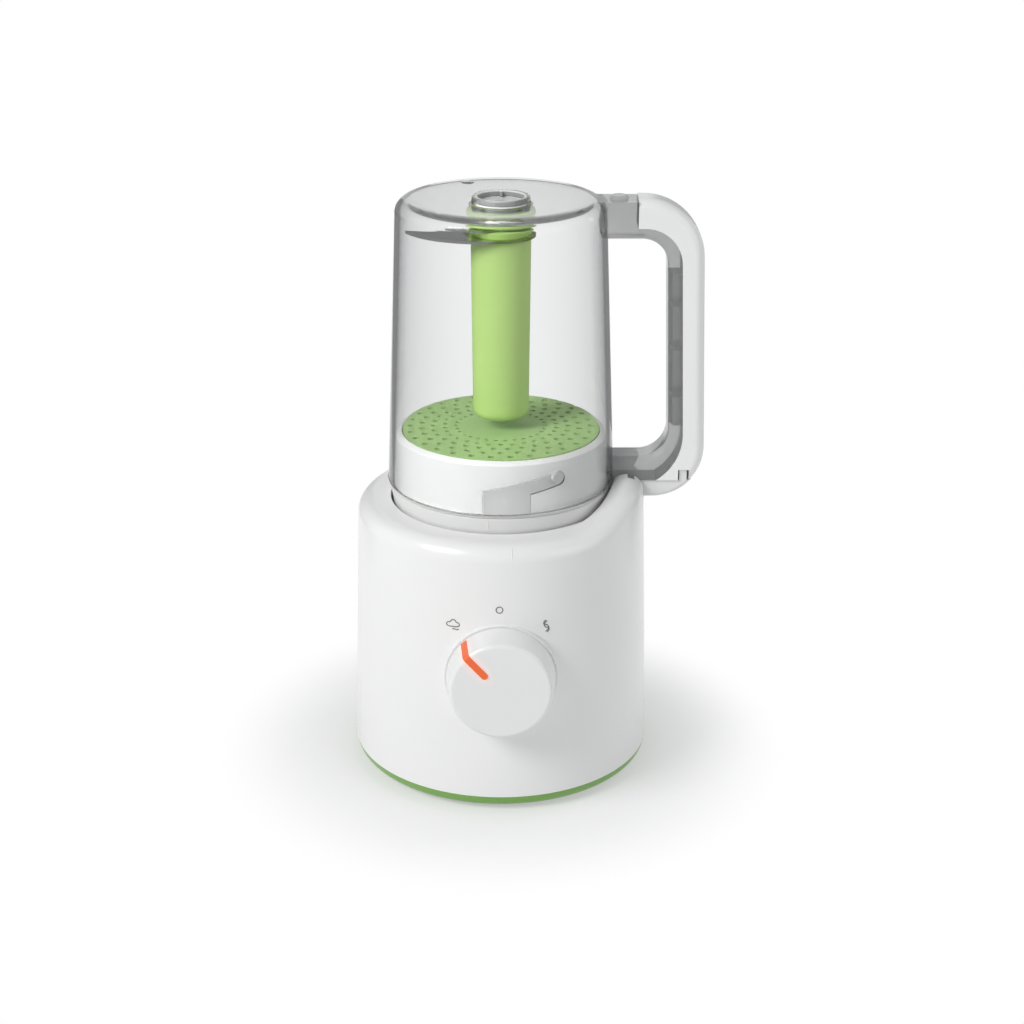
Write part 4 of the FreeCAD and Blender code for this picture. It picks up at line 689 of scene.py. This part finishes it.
class FOODMAKER_OT_knob(bpy.types.Operator):
    """Knob with its lit pointer"""

    bl_idname = "food_maker.knob"
    bl_label = "Knob"

    def execute(self, context):
        cap = dress("control_knob", "knob_cap")
        cap.data.materials[0] = knob_plastic()
        dress("knob_pointer", "pointer_light")
        return {"FINISHED"}


def front_point(across, height):
    """A point on the front of the housing's cone."""
    radius = HOUSING_LOW_RADIUS - (height - HOUSING_LOW) * HOUSING_TAPER
    return Vector((across, -math.sqrt(radius * radius - across * across), height))


def raised_line(name, points, width, closed=False):
    """A thin raised line through points on a surface."""
    bpy.ops.curve.primitive_nurbs_path_add()
    stroke = bpy.context.object
    stroke.name = name
    curve = stroke.data
    curve.splines.clear()
    spline = curve.splines.new("NURBS")
    spline.points.add(len(points) - 1)
    for point, spot in zip(spline.points, points):
        point.co = (*spot, 1.0)
    spline.use_cyclic_u = closed
    spline.use_endpoint_u = not closed
    spline.order_u = 3
    spline.resolution_u = 6
    curve.bevel_depth = width / 2
    curve.bevel_resolution = 2
    curve.use_fill_caps = True
    select_only(stroke)
    bpy.ops.object.convert(target="MESH")
    bpy.ops.object.shade_smooth()
    return stroke


def dial_centre(turn, reach):
    """Centre of a dial mark, by its angle from straight up and its share of the dial's radius."""
    sizes = settings().sizes
    angle = math.radians(turn)
    radius = sizes.dial_radius * reach
    return (radius * math.sin(angle), sizes.knob_height + radius * math.cos(angle))


class FOODMAKER_OT_dial(bpy.types.Operator):
    """Marks round the knob: steam, off and blend"""

    bl_idname = "food_maker.dial"
    bl_label = "Dial marks"

    def execute(self, context):
        for name, turn, reach, strokes in DIAL_MARKS:
            self.mark(name, turn, reach, strokes)
        return {"FINISHED"}

    def mark(self, name, turn, reach, strokes):
        """Draw one mark's strokes and join them to one piece."""
        across, height = dial_centre(turn, reach)
        sizes = settings().sizes
        scale = sizes.mark_size
        drawn = []
        for spots, closed in strokes:
            points = [front_point(across + x * scale, height + y * scale) for x, y in spots]
            drawn.append(raised_line(name, points, sizes.dial_line, closed))
        bpy.ops.object.select_all(action="DESELECT")
        for stroke in drawn:
            stroke.select_set(True)
        bpy.context.view_layer.objects.active = drawn[0]
        if len(drawn) > 1:
            bpy.ops.object.join()
        drawn[0].name = name
        settle(drawn[0], "base", dial_ink())


class FOODMAKER_OT_ticks(bpy.types.Operator):
    """Moulded lines that show how lid and base go together"""

    bl_idname = "food_maker.ticks"
    bl_label = "Alignment lines"

    def execute(self, context):
        for name, shell, body, across, low, high in TICKS:
            self.tick(name, shell, body, across, low, high)
        return {"FINISHED"}

    def tick(self, name, shell, body, across, low, high):
        """A short upright line on a shell, where rays from the front meet it."""
        points = []
        for step in range(TICK_STEPS + 1):
            height = low + (high - low) * step / TICK_STEPS
            start = Vector((across, TICK_START, height))
            found, spot = bpy.data.objects[shell].ray_cast(start, TO_THE_BACK)[:2]
            if not found:
                raise RuntimeError(f"{name} meets no surface of {shell}")
            points.append(spot)
        line = raised_line(name, points, settings().sizes.tick_line)
        settle(line, body, white_plastic())


class FOODMAKER_OT_jar(bpy.types.Operator):
    """Clear jar with its handle"""

    bl_idname = "food_maker.jar"
    bl_label = "Jar"

    def execute(self, context):
        shell = dress("jar", "clear_jar_shell", mend=mend_jar)
        shell.visible_shadow = False
        self.gate()
        self.seam_shadow_line(shell)
        dress("handle_frame", "smoky_handle_frame", mend=soft_edges)
        dress("handle_cover", "white_handle_cover")
        return {"FINISHED"}

    def seam_shadow_line(self, shell):
        """A dark line of painted shadow in the seam where the jar's open end sits on the lid."""
        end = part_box("jar")[0].z
        width = settings().sizes.seam_shadow_line
        spots = [point.co for point in shell.data.vertices if point.co.z < end + width]
        radius = max(math.hypot(spot.x, spot.y) for spot in spots)
        height = end + SEAM_SHADOW_LIFT * width
        turns = [math.radians(turn) for turn in range(0, 360, SEAM_SHADOW_STEP)]
        points = [(radius * math.cos(turn), radius * math.sin(turn), height) for turn in turns]
        line = raised_line("jar_foot_line", points, width, True)
        settle(line, "jar", smoky_plastic())

    def gate(self):
        """The low round mark that the moulding leaves on the jar's end."""
        turn = math.radians(GATE_TURN)
        spot = (GATE_REACH * math.cos(turn), GATE_REACH * math.sin(turn), GATE_LEVEL)
        bpy.ops.mesh.primitive_uv_sphere_add(segments=48, ring_count=24, location=spot,
                                             scale=(GATE_RADIUS, GATE_RADIUS, GATE_HIGH))
        mark = bpy.context.object
        mark.name = "gate_mark"
        bpy.ops.object.shade_smooth()
        mark.visible_shadow = False
        settle(mark, "jar", clear_plastic())


class FOODMAKER_OT_lid(bpy.types.Operator):
    """Lid with its sieve"""

    bl_idname = "food_maker.lid"
    bl_label = "Lid"

    def execute(self, context):
        shell = dress("jar_lid", "lid_shell")
        shell.data.materials[0] = lid_plastic()
        dress("sieve", "sieve_plate")
        return {"FINISHED"}


class FOODMAKER_OT_blades(bpy.types.Operator):
    """Blade unit"""

    bl_idname = "food_maker.blades"
    bl_label = "Blades"

    def execute(self, context):
        dress("blade_hub", "hub_tube")
        dress("blade_collar", "hub_collar")
        dress("blade_nut", "hub_flange")
        dress("lower_blade", "lower_sickle")
        dress("upper_blade", "upper_sickle")
        cup = dress("jar_coupling", "coupling_cup", mend=raise_rim)
        cup.data.materials[0] = cup_plastic()
        return {"FINISHED"}


class FOODMAKER_OT_inner_parts(bpy.types.Operator):
    """Finishes of the CAD nodes that have no shell of their own"""

    bl_idname = "food_maker.inner_parts"
    bl_label = "Inner parts"

    def execute(self, context):
        for name, node in NODES.items():
            if node.hide_render:
                continue
            node.data.materials.clear()
            node.data.materials.append(SLOT_FINISH[SLOT_OF[name]]())
        return {"FINISHED"}


class FOODMAKER_OT_studio(bpy.types.Operator):
    """Floor, cards, light and camera"""

    bl_idname = "food_maker.studio"
    bl_label = "Studio"

    def execute(self, context):
        studio = settings().studio
        scene = context.scene
        scene.view_settings.view_transform = "Standard"
        scene.cycles.max_bounces = BOUNCES
        scene.cycles.transmission_bounces = BOUNCES
        scene.cycles.glossy_bounces = BOUNCES
        self.light_the_world(scene, studio)
        self.lay_floor()
        self.hang_cards()
        for name, place, width, power in LAMPS:
            self.hang_lamp(name, place, width, getattr(studio, power))
        bpy.ops.object.camera_add(location=(0, -studio.camera_back, studio.camera_height),
                                  rotation=(studio.camera_tilt, 0, 0))
        camera = context.object
        camera.data.lens = studio.camera_lens
        camera.data.sensor_width = 36.0
        camera.data.shift_x = studio.camera_shift
        camera.data.clip_start = 0.01
        scene.camera = camera
        return {"FINISHED"}

    def light_the_world(self, scene, studio):
        """Soft light from all round, and plain white for what looks straight at it or through glass."""
        world = bpy.data.worlds.new("studio_sky")
        scene.world = world
        world.use_nodes = True
        nodes, links = world.node_tree.nodes, world.node_tree.links
        ambient = nodes["Background"]
        ambient.inputs["Color"].default_value = (*SKY_TINT, 1.0)
        ambient.inputs["Strength"].default_value = studio.sky
        white = nodes.new("ShaderNodeBackground")
        white.inputs["Color"].default_value = (*WHITE, 1.0)
        white.inputs["Strength"].default_value = 1.0
        dim = nodes.new("ShaderNodeBackground")
        dim.inputs["Color"].default_value = (*DIM_SURROUND, 1.0)
        seen = mix_shaders(nodes, links, seen_directly(nodes, links), ambient, white)
        turned = mix_shaders(nodes, links, turned_in_glass(nodes, links), seen, dim)
        links.new(turned.outputs[0], nodes["World Output"].inputs["Surface"])

    def lay_floor(self):
        """Pale floor that keeps the shadow and turns plain white away from the object."""
        bpy.ops.mesh.primitive_plane_add(size=FLOOR_SIZE)
        floor = bpy.context.object
        floor.name = "studio_floor"
        material = bpy.data.materials.new("studio_floor")
        material.use_nodes = True
        nodes, links = material.node_tree.nodes, material.node_tree.links
        matte = nodes["Principled BSDF"]
        matte.inputs["Base Color"].default_value = (*FLOOR_GREY, 1.0)
        matte.inputs["Roughness"].default_value = 0.9
        matte.inputs["Specular IOR Level"].default_value = 0.0
        glow = nodes.new("ShaderNodeEmission")
        place = nodes.new("ShaderNodeTexCoord")
        away = nodes.new("ShaderNodeVectorMath")
        away.operation = "LENGTH"
        links.new(place.outputs["Object"], away.inputs[0])
        fade = nodes.new("ShaderNodeMapRange")
        fade.interpolation_type = "SMOOTHSTEP"
        fade.inputs["From Min"].default_value = FLOOR_FADE_START
        fade.inputs["From Max"].default_value = FLOOR_FADE_END
        fade.inputs["To Min"].default_value = FLOOR_NEAR_WHITE
        links.new(away.outputs["Value"], fade.inputs["Value"])
        lift = math_node(nodes, "MULTIPLY")
        links.new(seen_directly(nodes, links), lift.inputs[0])
        links.new(fade.outputs["Result"], lift.inputs[1])
        dim = nodes.new("ShaderNodeEmission")
        dim.inputs["Color"].default_value = (*DIM_SURROUND, 1.0)
        seen = mix_shaders(nodes, links, lift.outputs[0], matte, glow)
        turned = mix_shaders(nodes, links, turned_in_glass(nodes, links), seen, dim)
        links.new(turned.outputs[0], nodes["Material Output"].inputs["Surface"])
        floor.data.materials.append(material)

    def hang_cards(self):
        """Grey cards that only show in gloss and draw its edges: one each side, one behind."""
        for name, place, turn, grey in CARDS:
            material = bpy.data.materials.new(name)
            material.use_nodes = True
            shader = material.node_tree.nodes["Principled BSDF"]
            shader.inputs["Base Color"].default_value = (grey, grey, grey, 1.0)
            shader.inputs["Specular IOR Level"].default_value = 0.0
            upright = (math.radians(90.0), 0, math.radians(turn))
            bpy.ops.mesh.primitive_plane_add(size=CARD_SIZE, location=place, rotation=upright)
            card = bpy.context.object
            card.name = name
            card.scale = CARD_SHAPE
            card.data.materials.append(material)
            card.visible_camera = False
            card.visible_diffuse = False
            card.visible_transmission = False
            card.visible_shadow = False

    def hang_lamp(self, name, place, width, power):
        """One large soft lamp that faces the object."""
        bpy.ops.object.light_add(type="AREA", location=place)
        lamp = bpy.context.object
        lamp.name = name
        lamp.data.shape = "DISK"
        lamp.data.size = width
        lamp.data.energy = power
        lamp.visible_transmission = False
        lamp.rotation_euler = (LAMP_TARGET - Vector(place)).to_track_quat("-Z", "Y").to_euler()


def mix_shaders(nodes, links, share, first, second):
    """A node that goes from one shader node to another, as a share socket rises from 0 to 1."""
    mix = nodes.new("ShaderNodeMixShader")
    links.new(share, mix.inputs["Fac"])
    links.new(first.outputs[0], mix.inputs[1])
    links.new(second.outputs[0], mix.inputs[2])
    return mix


def seen_directly(nodes, links):
    """1 for camera, gloss and glass rays, less after each matte bounce, 0 for rays that light a surface."""
    path = nodes.new("ShaderNodeLightPath")
    total = path.outputs["Is Camera Ray"]
    for label in ("Is Glossy Ray", "Is Transmission Ray"):
        join = math_node(nodes, "MAXIMUM")
        links.new(total, join.inputs[0])
        links.new(path.outputs[label], join.inputs[1])
        total = join.outputs[0]
    left = math_node(nodes, "MULTIPLY_ADD", None, -BOUNCE_LOSS, 1.0)
    left.use_clamp = True
    links.new(path.outputs["Diffuse Depth"], left.inputs[0])
    direct = math_node(nodes, "MULTIPLY")
    links.new(total, direct.inputs[0])
    links.new(left.outputs[0], direct.inputs[1])
    return direct.outputs[0]


def turned_in_glass(nodes, links):
    """1 for rays that pass clear plastic after a reflection, and so draw its edges, 0 for others."""
    path = nodes.new("ShaderNodeLightPath")
    turned = math_node(nodes, "MULTIPLY")
    turned.use_clamp = True
    links.new(path.outputs["Is Transmission Ray"], turned.inputs[0])
    links.new(path.outputs["Glossy Depth"], turned.inputs[1])
    return turned.outputs[0]


OPERATORS = (FOODMAKER_OT_base, FOODMAKER_OT_knob, FOODMAKER_OT_dial, FOODMAKER_OT_lid,
             FOODMAKER_OT_ticks, FOODMAKER_OT_jar, FOODMAKER_OT_blades, FOODMAKER_OT_inner_parts,
             FOODMAKER_OT_studio)


class FOODMAKER_PT_panel(bpy.types.Panel):
    """Lists the pieces and their settings"""

    bl_label = "Food Maker"
    bl_idname = "FOODMAKER_PT_panel"
    bl_space_type = "VIEW_3D"
    bl_region_type = "UI"
    bl_category = "Food Maker"

    def draw(self, context):
        for operator in OPERATORS:
            self.layout.operator(operator.bl_idname)
        for group in (settings().colours, settings().sizes, settings().studio):
            box = self.layout.box()
            for name in group.__annotations__:
                box.prop(group, name)


CLASSES = (FoodMakerColours, FoodMakerSizes, FoodMakerStudio, FoodMakerSettings, *OPERATORS,
           FOODMAKER_PT_panel)


def register():
    """Register the classes and the scene's settings."""
    for item in CLASSES:
        bpy.utils.register_class(item)
    bpy.types.Scene.food_maker = PointerProperty(type=FoodMakerSettings)


def unregister():
    """Take the settings and the classes out again."""
    del bpy.types.Scene.food_maker
    for item in reversed(CLASSES):
        bpy.utils.unregister_class(item)


def main():
    """Register the classes and make every piece in order."""
    register()
    for name in ("base", "knob", "dial", "lid", "ticks", "jar", "blades", "inner_parts", "studio"):
        getattr(bpy.ops.food_maker, name)()


if __name__ == "__main__":
    main()
